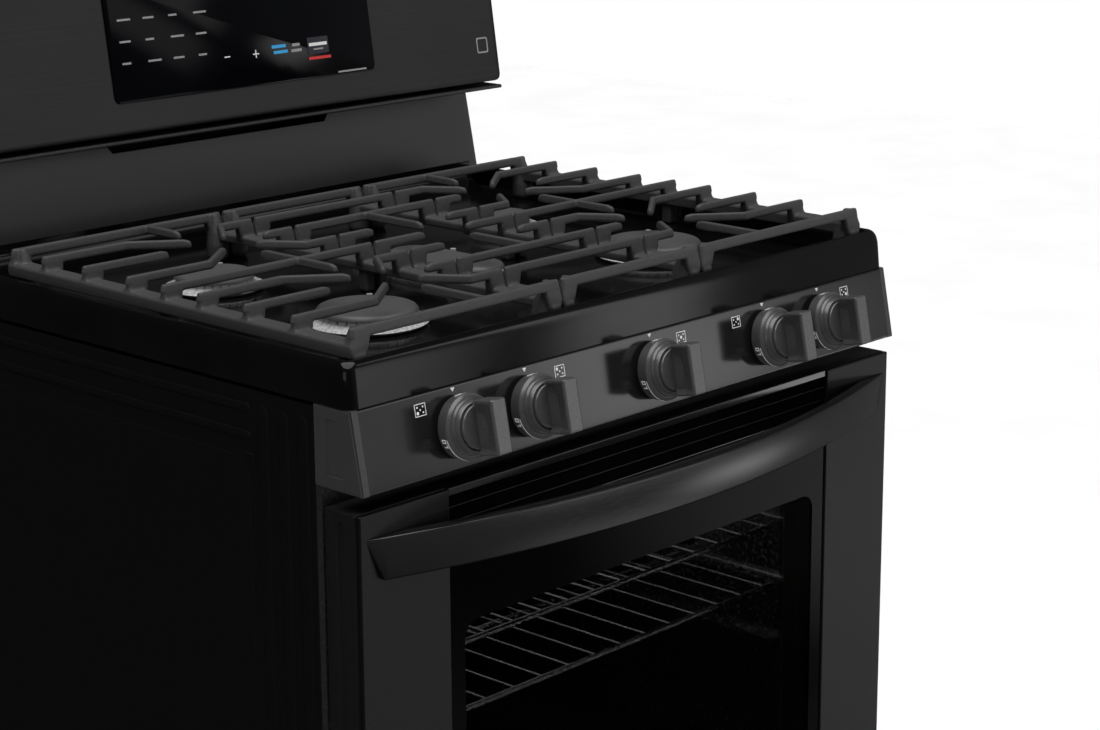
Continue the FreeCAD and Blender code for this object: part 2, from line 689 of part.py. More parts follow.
regulator = fuse(
    block("inlet_x - regulator_size / 2", "inlet_x + regulator_size / 2", "body_rear - 65", "body_rear - 15",
          "inlet_height - regulator_size / 2", "inlet_height + regulator_size / 2 + 12"),
    rod("inlet_radius + 5", "rear_inset + 13", "inlet_x", "body_rear - 15", "inlet_height", "Y"),
    block("inlet_x - 12", "inlet_x + 12", "body_rear - 60", "body_rear - 57", "base + skin", "inlet_height"))
node(cut(regulator, rod("inlet_radius", "inlet_length + 1", "inlet_x", "rear - 2 - inlet_length", "inlet_height", "Y")),
     "gas_regulator")


def valve_stem(name, x):
    """The spindle that slides in its valve when the knob is pushed."""
    start = "-valve_front - valve_depth + 6 + knob_travel + 1"
    length = "valve_front + valve_depth - 6 - knob_travel - 1 + knob_gap + 12"
    node(face_rod("stem_radius", length, x, start), "valve_stem_" + name)


def knob(name, x):
    """Turned skirt and boss with a raised grip bar and a blind bore for the spindle."""
    skirt_top = "knob_gap + skirt_length"
    profile = [("stem_radius + run_fit", "knob_gap"), ("knob_radius", "knob_gap"),
               ("knob_radius", skirt_top + " - 1.5"), ("knob_radius - 1.5", skirt_top),
               ("boss_radius + 1.5", skirt_top), ("boss_radius", skirt_top + " - 1"),
               ("boss_radius", skirt_top + " + boss_length - 2"),
               ("boss_radius - 2", skirt_top + " + boss_length"),
               ("0", skirt_top + " + boss_length"), ("0", "knob_gap + 12 + seat_gap"),
               ("stem_radius + run_fit", "knob_gap + 12 + seat_gap")]
    body = turned(profile)
    grip = block("-grip_width / 2", "grip_width / 2", "-boss_radius", "boss_radius",
                 skirt_top + " + boss_length - 2", skirt_top + " + boss_length + grip_height - 2")
    whole = fuse(body, grip)
    whole.Placement = FreeCAD.Placement(FreeCAD.Vector(0, 0, 0), FreeCAD.Rotation(FreeCAD.Vector(1, 0, 0), 80))
    bind(whole, Placement__Rotation__Angle="face_angle")
    node(place(whole, x, "knob_y", "knob_z"), "knob_" + name)


for knob_name, knob_x in KNOBS:
    valve_stem(knob_name, knob_x)
    knob(knob_name, knob_x)

# ---------------------------------------------------------------- cooktop
BURNERS = [("left_front", "-burner_x", "front_burner_y", "power_radius"),
           ("left_rear", "-burner_x", "rear_burner_y", "standard_radius"),
           ("right_rear", "burner_x", "rear_burner_y", "simmer_radius"),
           ("right_front", "burner_x", "front_burner_y", "plus_radius")]


def cooktop():
    """One-piece pressed top: sloping front, raised lip, sunk deck and burner throats."""
    outer = prism_x([("top_front", "panel_top"), ("guard_front", "panel_top"), ("guard_front", "lip_top"),
                     ("top_front + top_lean", "lip_top")], "-top_half", "top_half")
    recess = wide_block("recess_half", "recess_front", "guard_front + 1", "deck", "lip_top + 1")
    under = prism_x([("top_front + skin", "panel_top - 1"), ("guard_front - skin", "panel_top - 1"),
                     ("guard_front - skin", "deck - skin"), ("top_front + skin + 2", "deck - skin")],
                    "-top_half + skin", "top_half - skin")
    lip_under = cut(block("-top_half + skin", "top_half - skin", "top_front + top_lean + skin", "guard_front - skin",
                          "deck - skin - 0.5", "lip_top - skin"),
                    wide_block("recess_half + skin", "recess_front - skin", "guard_front + 1", "deck - skin - 1",
                               "lip_top"))
    throats = [rod("14", "8", x, y, "deck - 4") for name, x, y, r in BURNERS]
    throats.append(rod("14", "8", "0", "middle_burner_y", "deck - 4"))
    return cut(outer, recess, under, lip_under, *throats)


node(cooktop(), "cooktop")


def round_head(x, y, radius):
    """Cast burner head on its flared base, with a throat through the deck."""
    body = turned([("0", "deck - 22"), ("12", "deck - 22"), ("12", "deck"), ("%s + 7" % radius, "deck"),
                   ("%s + 7" % radius, "deck + 1.5"), ("%s - 2" % radius, "deck + 5"),
                   ("%s - 4" % radius, "cap_base"), ("0", "cap_base")])
    ports = []
    lead = "(%s - 9)" % radius
    for turn in range(0, 360, 30):
        port = block("-1", "1", lead, "%s + 9" % radius, "deck + 6", "cap_base + 1")
        port.Placement = FreeCAD.Placement(FreeCAD.Vector(0, 0, 0), FreeCAD.Rotation(FreeCAD.Vector(0, 0, 1), turn))
        place(port, "-cos(%d) - %s * sin(%d)" % (turn, lead, turn),
              "-sin(%d) + %s * cos(%d)" % (turn, lead, turn), "deck + 6")
        ports.append(port)
    return place(cut(body, *ports), x, y)


def slotted(radius, length, z0, z1):
    """An upright oval: a box with a round end front and rear."""
    return fuse(block("-(%s)" % radius, radius, "-(%s) / 2" % length, "(%s) / 2" % length, z0, z1),
                rod(radius, "(%s) - (%s)" % (z1, z0), "0", "-(%s) / 2" % length, z0),
                rod(radius, "(%s) - (%s)" % (z1, z0), "0", "(%s) / 2" % length, z0))


oval_head = place(fuse(slotted("oval_radius + 7", "oval_length", "deck", "deck + 2"),
                       slotted("oval_radius - 3", "oval_length", "deck + 2", "cap_base"),
                       rod("12", "24", "0", "0", "deck - 22")), "0", "middle_burner_y")
node(group(*[round_head(x, y, r) for name, x, y, r in BURNERS], oval_head), "burner_heads")

for cap_name, cap_x, cap_y, cap_r in BURNERS:
    cap = turned([("0", "cap_base + seat_gap"), (cap_r, "cap_base + seat_gap"), (cap_r, "cap_top - 2"),
                  ("%s - 3" % cap_r, "cap_top"), ("0", "cap_top")])
    node(place(cap, cap_x, cap_y), "burner_cap_" + cap_name)
oval_cap = place(fuse(slotted("oval_radius", "oval_length", "cap_base + seat_gap", "cap_top - 2"),
                      slotted("oval_radius - 3", "oval_length", "cap_top - 3", "cap_top")), "0", "middle_burner_y")
node(oval_cap, "burner_cap_centre")

def igniter(x, y):
    return rod("igniter_radius", "head_height + igniter_lift", x, y, "deck")


electrodes = [igniter("%s + (%s + igniter_gap) * cos(45)" % (x, r), "%s + (%s + igniter_gap) * sin(45)" % (y, r))
              for name, x, y, r in BURNERS]
electrodes.append(igniter("oval_radius + igniter_gap", "middle_burner_y + oval_length / 3"))
node(group(*electrodes), "igniters")


def burner_tubes():
    """Aluminium gas tubes from each valve's back end to the throat of its burner."""
    radius = read("tube_radius")
    start_y = read("manifold_y") + read("manifold_radius") + 3
    start_z = read("manifold_z")
    throat_z = read("deck") - 22
    turn_z = throat_z - 14
    ends = {name: (read(x.strip("-")) * (-1 if x.startswith("-") else 1), read(y)) for name, x, y, r in BURNERS}
    ends["centre"] = (0.0, read("middle_burner_y"))
    starts = {name: 0.0 if x == "0" else read(x.strip("-")) * (-1 if x.startswith("-") else 1)
              for name, x in KNOBS}
    tubes = []
    for name, (x, y) in ends.items():
        parts = [wire_rod((starts[name], start_y, start_z), (x, y, turn_z), radius),
                 Part.makeSphere(radius, FreeCAD.Vector(x, y, turn_z)),
                 wire_rod((x, y, turn_z), (x, y, throat_z), radius)]
        tubes.append(joined(parts))
    plain(Part.makeCompound(tubes), "burner_tubes")


burner_tubes()


# ---------------------------------------------------------------- grates
ROWS = [read(row) for row in ("row_front", "row_one", "row_two", "row_three", "row_four", "row_five", "row_six",
                              "row_seven", "row_rear")]


def grate_frame(x_low, x_high):
    """Front and rear bars, a side rail along each edge, a post over the rail at each row, and six feet."""
    width = read("finger_width")
    top = read("grate_top")
    low = top - read("finger_depth")
    rail = read("deck") + read("grate_rail")
    rail_low = rail - read("rail_thick")
    deep = read("rail_width")
    parts = []
    for y in (ROWS[0], ROWS[-1]):
        parts.append(bar((x_low, y), (x_high, y), width, low, top))
    for edge, side in ((x_low, 1), (x_high, -1)):
        middle = edge + side * deep / 2
        parts.append(bar((middle, ROWS[0] - width / 2), (middle, ROWS[-1] + width / 2), deep, rail_low, rail))
        for y in ROWS:
            parts.append(bar((edge, y), (edge + side * deep, y), width, rail_low, top))
        for y in (ROWS[0], ROWS[4], ROWS[-1]):
            parts.append(bar((edge, y), (edge + side * deep, y), width, read("deck") + read("seat_gap"), rail))
    return parts


def side_grate(name, sign):
    """Grate over two burners: straight, bent and crossed fingers reach in from both sides."""
    width = read("finger_width")
    top = read("grate_top")
    low = top - read("finger_depth")
    seam = read("grate_seam") + read("grate_gap") / 2
    reach = read("grate_reach")
    inner = read("bend_inner")
    outer = read("bend_outer")
    spine = read("spine_x")
    parts = grate_frame(seam, reach)

    def finger(points):
        for start, end in zip(points, points[1:]):
            parts.append(bar(start, end, width, low, top))
        for x, y in points[1:-1]:
            parts.append(Part.makeCylinder(width / 2, top - low, FreeCAD.Vector(x, y, low)))

    for front, middle, rear in ((ROWS[1], ROWS[2], ROWS[3]), (ROWS[5], ROWS[6], ROWS[7])):
        finger([(seam, middle), (read("straight_inner"), middle)])
        finger([(reach, middle), (outer, middle)])
        for row, toward in ((front, read("bend_y")), (rear, -read("bend_y"))):
            finger([(seam, row), (inner, row), (inner + read("bend_in_x"), row + toward)])
            finger([(reach, row), (outer, row), (outer - read("bend_out_x"), row + toward)])
    finger([(seam, ROWS[4]), (reach, ROWS[4])])
    finger([(spine, ROWS[4] - read("spine_middle")), (spine, ROWS[4] + read("spine_middle"))])
    finger([(spine, ROWS[0]), (spine, ROWS[0] + read("spine_front"))])
    finger([(spine, ROWS[-1]), (spine, ROWS[-1] - read("spine_rear"))])
    shape = joined(parts)
    if sign < 0:
        shape = shape.mirror(FreeCAD.Vector(0, 0, 0), FreeCAD.Vector(1, 0, 0))
    plain(shape, name)


def centre_grate(name):
    """Grate over the oval burner, with bars right across at the front and rear rows."""
    width = read("finger_width")
    top = read("grate_top")
    low = top - read("finger_depth")
    seam = read("grate_seam") - read("grate_gap") / 2
    parts = grate_frame(-seam, seam)
    for row in (ROWS[1], ROWS[2], ROWS[6], ROWS[7]):
        parts.append(bar((-seam, row), (seam, row), width, low, top))
    for side in (-1, 1):
        for row in (ROWS[3], ROWS[5]):
            parts.append(bar((side * seam, row), (side * (seam - read("stub_length")), row), width, low, top))
        parts.append(bar((side * seam, ROWS[4]), (side * read("short_end"), ROWS[4]), width, low, top))
    parts.append(bar((0, ROWS[2]), (0, ROWS[2] + read("tine_front")), width, low, top))
    parts.append(bar((0, ROWS[6]), (0, ROWS[6] - read("tine_rear")), width, low, top))
    plain(joined(parts), name)


side_grate("grate_left", -1)
centre_grate("grate_centre")
side_grate("grate_right", 1)


# ---------------------------------------------------------------- backguard
def backguard_lower():
    """Leaning splash panel with the oven vent slot near its top."""
    shell = cut(prism_x([("guard_front", "panel_top + 10"), ("guard_front", "lip_top"), ("guard_upper", "guard_z"),
                         ("cover_front", "guard_z"), ("cover_front", "panel_top + 10")],
                        "-guard_half", "guard_half"),
                prism_x([("guard_front + skin", "panel_top + 9"), ("guard_front + skin", "lip_top"),
                         ("guard_upper + skin", "guard_z - skin"), ("cover_front + 1", "guard_z - skin"),
                         ("cover_front + 1", "panel_top + 9")],
                        "-guard_half + skin", "guard_half - skin"))
    slot_low = "guard_z - slot_height - slot_margin"
    slot_high = "guard_z - slot_margin"
    vent = prism_y([("-slot_width / 2 + slot_slant", slot_low), ("slot_width / 2 - slot_slant", slot_low),
                    ("slot_width / 2", slot_high), ("-slot_width / 2", slot_high)],
                   "guard_front - 1", "guard_upper + 8")
    return cut(shell, vent)


node(backguard_lower(), "backguard_lower")
node(wide_block("half - 1", "box_front - 2", "cover_front", "guard_z", "shelf_z"), "backguard_shelf")


def control_box():
    """Upper housing whose face leans back, open to the rear cover."""
    outer = prism_x([("box_front", "box_z"), ("cover_front", "box_z"), ("cover_front", "range_top"),
                     ("box_upper", "range_top")], "-half", "half")
    hollow = prism_x([("box_front + skin", "box_z + skin"), ("cover_front + 1", "box_z + skin"),
                      ("cover_front + 1", "range_top - skin"), ("box_upper + skin", "range_top - skin")],
                     "-half + skin", "half - skin")
    plinth = wide_block("guard_half - 20", "guard_upper + 6", "cover_front", "shelf_z", "box_z")
    return fuse(cut(outer, hollow), plinth)


node(control_box(), "control_box")

BOX_LEAN = "(box_lean / (range_top - box_z))"
touch_low = "(box_z + (range_top - box_z - touch_height) / 2)"


def face_y(height):
    """Y of the leaning control face at a height, just clear of the skin."""
    return "box_front + %s * (%s - box_z)" % (BOX_LEAN, height)


touch_high = "(%s + touch_height)" % touch_low
node(prism_x([(face_y(touch_low) + " - touch_thick", touch_low), (face_y(touch_low), touch_low),
              (face_y(touch_high), touch_high), (face_y(touch_high) + " - touch_thick", touch_high)],
             "-touch_width / 2", "touch_width / 2"), "control_glass")
board_low = touch_low + " + 10"
board_high = touch_high + " - 10"
behind = " + skin + seat_gap + 0.5"
node(prism_x([(face_y(board_low) + behind, board_low), (face_y(board_low) + behind + " + 15", board_low),
              (face_y(board_high) + behind + " + 15", board_high), (face_y(board_high) + behind, board_high)],
             "-touch_width / 2 + 20", "touch_width / 2 - 20"), "control_board")


def backguard_cover():
    """Rear pan that closes the backguard, with rows of cooling slots."""
    outer = wide_block("half", "cover_front", "cover_back", "panel_top", "range_top")
    hollow = wide_block("half - skin", "cover_front - 1", "cover_back - skin", "panel_top + skin", "range_top - skin")
    slots = [block("%d * 40 - 14" % k, "%d * 40 + 14" % k, "cover_back - 3", "cover_back + 1",
                   "range_top - 60 - %d * 14" % row, "range_top - 56 - %d * 14" % row)
             for k in range(-5, 6) for row in range(3)]
    return cut(outer, hollow, *slots)


node(backguard_cover(), "backguard_cover")

screw_xs = ["-half + 12", "-half / 2", "half / 2", "half - 12"]
screws = [rod("4", "screw_head", x, "cover_back", z, "Y") for x in screw_xs
          for z in ("panel_top + 14", "range_top - 14")]
screws += [rod("4", "screw_head", x, "body_rear", z, "Y") for x in ("-inner + 14", "inner - 14")
           for z in ("panel_top - 40", "panel_top / 2 + 100")]
node(group(*screws), "cover_screws")

# ---------------------------------------------------------------- check and export
doc.recompute()
os.makedirs("parts", exist_ok=True)
faults = [item.Label for item in doc.Objects if "Invalid" in item.State or "Error" in item.State]
for item in nodes:
    shape = item.Shape
    if shape.isNull() or not shape.isValid() or not shape.Solids:
        faults.append(item.Label)
if faults:
    raise RuntimeError("failed: " + ", ".join(faults))
for item in nodes:
    item.Shape.exportStep("parts/%s.step" % item.Label)
print(len(nodes), "nodes")
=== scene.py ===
import math

import bmesh
import bpy
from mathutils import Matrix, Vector


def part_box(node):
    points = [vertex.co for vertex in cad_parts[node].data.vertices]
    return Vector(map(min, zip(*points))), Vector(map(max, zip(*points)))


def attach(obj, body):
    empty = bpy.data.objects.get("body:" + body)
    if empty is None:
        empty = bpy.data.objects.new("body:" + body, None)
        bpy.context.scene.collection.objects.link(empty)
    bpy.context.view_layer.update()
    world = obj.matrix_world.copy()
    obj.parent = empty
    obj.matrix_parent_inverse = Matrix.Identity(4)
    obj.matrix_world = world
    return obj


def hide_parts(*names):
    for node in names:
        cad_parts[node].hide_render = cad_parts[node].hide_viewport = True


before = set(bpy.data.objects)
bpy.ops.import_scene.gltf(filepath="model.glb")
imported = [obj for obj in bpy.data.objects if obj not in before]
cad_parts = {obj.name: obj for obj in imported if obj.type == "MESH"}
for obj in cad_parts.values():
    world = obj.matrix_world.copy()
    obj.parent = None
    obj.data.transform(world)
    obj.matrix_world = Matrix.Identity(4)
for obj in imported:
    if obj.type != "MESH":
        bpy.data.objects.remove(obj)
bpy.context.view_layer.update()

# Lengths below are millimetres unless a name says otherwise; Blender works in metres.
MM = 0.001
SIDES = (-1, 1)
KNOBS = ("left_front", "left_rear", "centre", "right_rear", "right_front")


def span(node):
    """Lowest and highest corner of a CAD node, in millimetres."""
    low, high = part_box(node)
    return [value / MM for value in low], [value / MM for value in high]


# ------------------------------------------------------------------ places read from the frame
top_low, top_high = span("cooktop")
panel_low, panel_high = span("control_panel")
skin_low, skin_high = span("door_skin")
liner_low, liner_high = span("door_liner")
glass_low, glass_high = span("door_glass_outer")
vent_low, vent_high = span("door_vent_trim")
guard_low, guard_high = span("backguard_lower")
box_low, box_high = span("control_box")
touch_low, touch_high = span("control_glass")
side_low, side_high = span("side_panel_left")
grate_low, grate_high = span("grate_right")
caps_high = span("panel_end_caps")[1]
handle_low, handle_high = span("door_handle")
knob_high = span("knob_centre")[1]
RANGE_TOP = box_high[2]
# The grates' feet stand this far above the deck.
FOOT_GAP = 0.3
DECK = grate_low[2] - FOOT_GAP
LIP_TOP = top_high[2]
GRATE_TOP = grate_high[2]
PANEL_LEAN = 14.0
PANEL_HEIGHT = panel_high[2] - panel_low[2]
PANEL_SLOPE = math.hypot(PANEL_LEAN, PANEL_HEIGHT)
FACE_OUT = Vector((0, -PANEL_HEIGHT / PANEL_SLOPE, PANEL_LEAN / PANEL_SLOPE))
FACE_UP = Vector((0, PANEL_LEAN / PANEL_SLOPE, PANEL_HEIGHT / PANEL_SLOPE))


# ------------------------------------------------------------------ material helpers
def fill(item, **values):
    """Set plain values on a node's sockets; an underscore in a name stands for a space."""
    for name, value in values.items():
        item.inputs[name.replace("_", " ")].default_value = value
    return item


def rgb(colour):
    """A colour as it is, or a grey from one number."""
    return colour if isinstance(colour, tuple) else (colour, colour, colour)


def new_material(name):
    """A material with its nodes, its link maker and its shader."""
    material = bpy.data.materials.new(name)
    material.use_nodes = True
    nodes = material.node_tree.nodes
    return material, nodes, material.node_tree.links.new, nodes["Principled BSDF"]


def object_noise(nodes, link, scale, stretch=(1, 1, 1), detail=3.0, rough=0.55):
    """Noise in object space, stretched by a mapping."""
    coords = nodes.new("ShaderNodeTexCoord")
    mapping = fill(nodes.new("ShaderNodeMapping"), Scale=stretch)
    noise = fill(nodes.new("ShaderNodeTexNoise"), Scale=scale, Detail=detail, Roughness=rough)
    link(coords.outputs["Object"], mapping.inputs["Vector"])
    link(mapping.outputs["Vector"], noise.inputs["Vector"])
    return noise.outputs["Fac"]


def ramp(nodes, link, source, low, high, start=0.35, stop=0.65):
    """A two-stop colour ramp driven by a 0 to 1 source."""
    item = nodes.new("ShaderNodeValToRGB")
    for element, position, colour in zip(item.color_ramp.elements, (start, stop), (low, high)):
        element.position = position
        element.color = (*rgb(colour), 1)
    link(source, item.inputs["Fac"])
    return item.outputs["Color"]


def spread(nodes, link, source, low, high):
    """Map the middle of a 0 to 1 source onto low to high."""
    item = fill(nodes.new("ShaderNodeMapRange"), From_Min=0.3, From_Max=0.7, To_Min=low, To_Max=high)
    link(source, item.inputs["Value"])
    return item.outputs["Result"]


def bump(nodes, link, source, shader, strength, distance):
    """Put a bump from a height source into the shader's normal."""
    item = fill(nodes.new("ShaderNodeBump"), Strength=strength, Distance=distance)
    link(source, item.inputs["Height"])
    link(item.outputs["Normal"], shader.inputs["Normal"])


def mottled(name, dark, light, rough, metallic, scale, lift=0.1, depth=0.0002, specular=0.5, detail=3.0):
    """The common finish: mottled colour and gloss with a fine bump, all in object space."""
    material, nodes, link, shader = new_material(name)
    noise = object_noise(nodes, link, scale, detail=detail)
    link(ramp(nodes, link, noise, dark, light), shader.inputs["Base Color"])
    link(spread(nodes, link, noise, *rough), shader.inputs["Roughness"])
    fill(shader, Metallic=metallic, Specular_IOR_Level=specular)
    if lift > 0:
        bump(nodes, link, noise, shader, lift, depth)
    return material


def brushed(name, dark, light, rough, stretch):
    """Fine drawn lines along one direction over a slow change of tone."""
    material, nodes, link, shader = new_material(name)
    lines = object_noise(nodes, link, 5.0, stretch, 4.0, 0.7)
    tone = object_noise(nodes, link, 4.0, detail=2.0)
    mix = nodes.new("ShaderNodeMix")
    mix.data_type = "RGBA"
    mix.blend_type = "MULTIPLY"
    mix.inputs[0].default_value = 0.35
    link(ramp(nodes, link, lines, dark, light, 0.3, 0.7), mix.inputs[6])
    link(ramp(nodes, link, tone, 0.7, 1.0), mix.inputs[7])
    link(mix.outputs[2], shader.inputs["Base Color"])
    link(spread(nodes, link, lines, *rough), shader.inputs["Roughness"])
    fill(shader, Metallic=0.85)
    bump(nodes, link, lines, shader, 0.06, 0.0001)
    return material


def pane(name, tint, specular):
    """Tinted see-through pane with a faint unevenness."""
    material, nodes, link, shader = new_material(name)
    noise = object_noise(nodes, link, 9.0, detail=2.0)
    link(ramp(nodes, link, noise, 0.92 * tint, tint), shader.inputs["Base Color"])
    link(spread(nodes, link, noise, 0.0, 0.02), shader.inputs["Roughness"])
    fill(shader, Transmission_Weight=1.0, IOR=1.02, Specular_IOR_Level=specular)
    return material


def ink(name, colour, glow=0.15):
    """Screen-printed marking, slightly uneven, with a faint painted glow from emission, though the print is
    no lamp.
    """
    material, nodes, link, shader = new_material(name)
    noise = object_noise(nodes, link, 800.0)
    faded = tuple(0.85 * part for part in rgb(colour))
    link(ramp(nodes, link, noise, faded, colour), shader.inputs["Base Color"])
    link(spread(nodes, link, noise, 0.5, 0.65), shader.inputs["Roughness"])
    fill(shader, Emission_Color=(*rgb(colour), 1), Emission_Strength=glow)
    return material


# Darkest and lightest tone, least and most roughness, and how the noise is stretched into lines.
BRUSHED = {
    "door_steel": (0.013, 0.026, (0.34, 0.46), (0.6, 160.0, 160.0)),
    "handle_steel": (0.036, 0.052, (0.20, 0.27), (0.6, 160.0, 160.0)),
    "box_steel": (0.017, 0.029, (0.32, 0.42), (0.6, 160.0, 160.0)),
    "side_steel": (0.030, 0.048, (0.36, 0.46), (160.0, 160.0, 0.6)),
}
# Darkest and lightest tone, least and most roughness, metallic, scale of the mottling, then, where it isn't
# mottled's own, bump strength, bump depth in metres, specular level and noise detail.
MOTTLED = {
    "satin": (0.008, 0.010, (0.13, 0.155), 0.0, 900.0, 0.02, 0.00005, 0.45),
    "guard_satin": (0.012, 0.016, (0.36, 0.42), 0.2, 700.0, 0.05, 0.00005),
    "cap_satin": (0.032, 0.038, (0.38, 0.45), 0.1, 700.0, 0.06, 0.00005, 0.4),
    "enamel": (0.0022, 0.0032, (0.09, 0.12), 0.0, 14.0, 0.03, 0.0002, 0.22),
    "side_paint": (0.0032, 0.0042, (0.35, 0.42), 0.0, 900.0, 0.1, 0.00005, 0.12),
    "frame_enamel": (0.012, 0.016, (0.2, 0.3), 0.0, 300.0, 0.05, 0.0001),
    "lamp_glass": ((0.62, 0.60, 0.52), (0.72, 0.70, 0.62), (0.12, 0.2), 0.0, 120.0, 0.03),
    "iron": (0.036, 0.050, (0.5, 0.6), 0.0, 420.0, 0.3, 0.0003, 0.35, 5.0),
    "cap_enamel": (0.050, 0.072, (0.42, 0.52), 0.0, 900.0, 0.25, 0.0002, 0.4, 5.0),
    "alloy": (0.46, 0.58, (0.22, 0.34), 0.25, 260.0, 0.12),
    "head_wall": (0.34, 0.44, (0.35, 0.45), 0.2, 260.0),
    "chrome": (0.30, 0.42, (0.2, 0.3), 1.0, 200.0, 0.03, 0.0001),
    "knob": (0.080, 0.094, (0.26, 0.32), 0.4, 900.0, 0.04, 0.00005),
    "black_glass": (0.0010, 0.0014, (0.03, 0.06), 0.0, 6.0, 0.0, 0.0002, 0.015),
    "touch_glass": ((0.0016, 0.0017, 0.0026), (0.0022, 0.0024, 0.0036), (0.09, 0.13), 0.0, 8.0, 0.0, 0.0002,
                    0.06),
    "zinc": (0.32, 0.45, (0.35, 0.5), 0.8, 35.0, 0.05),
    "oven_enamel": ((0.003, 0.003, 0.004), (0.010, 0.010, 0.012), (0.3, 0.42), 0.0, 700.0, 0.05, 0.0002, 0.2),
    "wool": ((0.45, 0.40, 0.26), (0.72, 0.66, 0.48), (0.85, 0.95), 0.0, 180.0, 0.8, 0.002, 0.5, 8.0),
    "black_plastic": (0.0016, 0.0024, (0.4, 0.5), 0.0, 700.0, 0.1, 0.0001, 0.0),
    "rubber": (0.015, 0.024, (0.6, 0.75), 0.0, 500.0, 0.2),
    "brass": ((0.55, 0.38, 0.14), (0.72, 0.52, 0.22), (0.25, 0.38), 0.95, 200.0, 0.08),
    "gasket": (0.05, 0.12, (0.8, 0.9), 0.0, 900.0, 0.8, 0.001),
    "board": ((0.01, 0.07, 0.02), (0.02, 0.12, 0.04), (0.35, 0.5), 0.0, 400.0),
    "screw": (0.4, 0.55, (0.25, 0.4), 0.95, 500.0),
    "key_tone": ((0.012, 0.012, 0.02), (0.016, 0.016, 0.026), (0.2, 0.3), 0.0, 90.0, 0.0, 0.0002, 0.2),
}
# Tint and specular level.
PANES = {"window": (0.34, 0.03), "inner_window": (0.8, 0.05)}
# Colour and, where given, the strength of the painted glow: emission that makes the printed marks brighter
# than the lamps alone would.
INKS = {"glowing_white_ink": (0.75,), "glowing_dim_ink": (0.32, 0.05), "glowing_red_ink": ((0.6, 0.02, 0.02),),
        "glowing_blue_ink": ((0.03, 0.35, 0.7),)}
FINISH = {}
for make, table in ((brushed, BRUSHED), (mottled, MOTTLED), (pane, PANES), (ink, INKS)):
    for name, values in table.items():
        FINISH[name] = make(name, *values)


# ------------------------------------------------------------------ mesh helpers
def dress(piece, body, finish, slot, *hidden):
    """Give a piece its finish and its body, and hide the CAD nodes that it stands for. The slot is not used.
    """
    piece.data.materials.clear()
    piece.data.materials.append(FINISH[finish])
    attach(piece, body)
    if hidden:
        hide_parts(*hidden)


def put(name, data):
    piece = bpy.data.objects.new(name, data)
    bpy.context.scene.collection.objects.link(piece)
    return piece


def emit(name, bm):
    """A new object from a finished bmesh."""
    data = bpy.data.meshes.new(name)
    bm.to_mesh(data)
    bm.free()
    return put(name, data)


def mesh_piece(name, points, faces, crease=35.0):
    """A mesh object from points in millimetres, smooth except at creases."""
    data = bpy.data.meshes.new(name)
    data.from_pydata([Vector(point) * MM for point in points], [], faces)
    bm = bmesh.new()
    bm.from_mesh(data)
    bmesh.ops.remove_doubles(bm, verts=bm.verts, dist=1e-6)
    bmesh.ops.dissolve_degenerate(bm, edges=bm.edges, dist=1e-7)
    bmesh.ops.recalc_face_normals(bm, faces=bm.faces)
    shade(bm, crease)
    bm.to_mesh(data)
    bm.free()
    return put(name, data)


def shade(bm, crease):
    """Smooth shading that breaks where two faces meet at more than the crease angle."""
    for face in bm.faces:
        face.smooth = True
    for edge in bm.edges:
        edge.smooth = len(edge.link_faces) == 2 and edge.calc_face_angle(0.0) < math.radians(crease)


def reshade(piece, crease=35.0):
    bm = bmesh.new()
    bm.from_mesh(piece.data)
    shade(bm, crease)
    bm.to_mesh(piece.data)
    bm.free()
    return piece


def baked(piece):
    """Bake a piece's modifiers into its mesh."""
    bpy.context.view_layer.update()
    graph = bpy.context.evaluated_depsgraph_get()
    data = bpy.data.meshes.new_from_object(piece.evaluated_get(graph))
    piece.modifiers.clear()
    piece.data = data
    return piece


def soften(piece, width, segments=3, angle=30.0):
    """Rounded edges, with the flats kept flat."""
    edge = piece.modifiers.new("edges", "BEVEL")
    edge.width = width * MM
    edge.segments = segments
    edge.limit_method = "ANGLE"
    edge.angle_limit = math.radians(angle)
    edge.harden_normals = True
    return baked(piece)


def clone(node, name):
    """A copy of a CAD node's mesh with its flat faces made whole again."""
    bm = bmesh.new()
    bm.from_mesh(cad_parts[node].data)
    bmesh.ops.remove_doubles(bm, verts=bm.verts, dist=1e-6)
    bmesh.ops.dissolve_limit(bm, angle_limit=math.radians(1.0), verts=bm.verts, edges=bm.edges)
    shade(bm, 30.0)
    return emit(name, bm)


def together(name, pieces):
    """One object from several; their modifiers are baked already."""
    bm = bmesh.new()
    for piece in pieces:
        bm.from_mesh(piece.data)
        bpy.data.objects.remove(piece)
    return emit(name, bm)


def mirror(piece):
    """Swap left and right in a piece that stands in the row frame."""
    for vertex in piece.data.vertices:
        vertex.co.x = -vertex.co.x
    piece.data.flip_normals()


def prism(name, outline, low, high, axis="X"):
    """An outline padded along a row axis: (y, z) pairs for X, (x, z) for Y and (x, y) for Z."""
    def point(pair, depth):
        return {"X": (depth, *pair), "Y": (pair[0], depth, pair[1]), "Z": (*pair, depth)}[axis]
    count = len(outline)
    points = [point(pair, low) for pair in outline] + [point(pair, high) for pair in outline]
    faces = [tuple(range(count)), tuple(range(2 * count - 1, count - 1, -1))]
    faces += [(k, (k + 1) % count, count + (k + 1) % count, count + k) for k in range(count)]
    return mesh_piece(name, points, faces, 30.0)


def brick(name, x0, x1, y0, y1, z0, z1):
    return prism(name, [(x0, y0), (x1, y0), (x1, y1), (x0, y1)], z0, z1, "Z")


def ray(x, y, radius, turn):
    """The point at a radius and a turn from a middle."""
    return (x + radius * math.cos(turn), y + radius * math.sin(turn))


def round_rect(x0, x1, z0, z1, radius, steps=6):
    """The points of a rectangle with round corners, anticlockwise from the upper right."""
    points = []
    for cx, cz, start in ((x1 - radius, z1 - radius, 0), (x0 + radius, z1 - radius, 90),
                          (x0 + radius, z0 + radius, 180), (x1 - radius, z0 + radius, 270)):
        for k in range(steps + 1):
            points.append(ray(cx, cz, radius, math.radians(start + 90 * k / steps)))
    return points


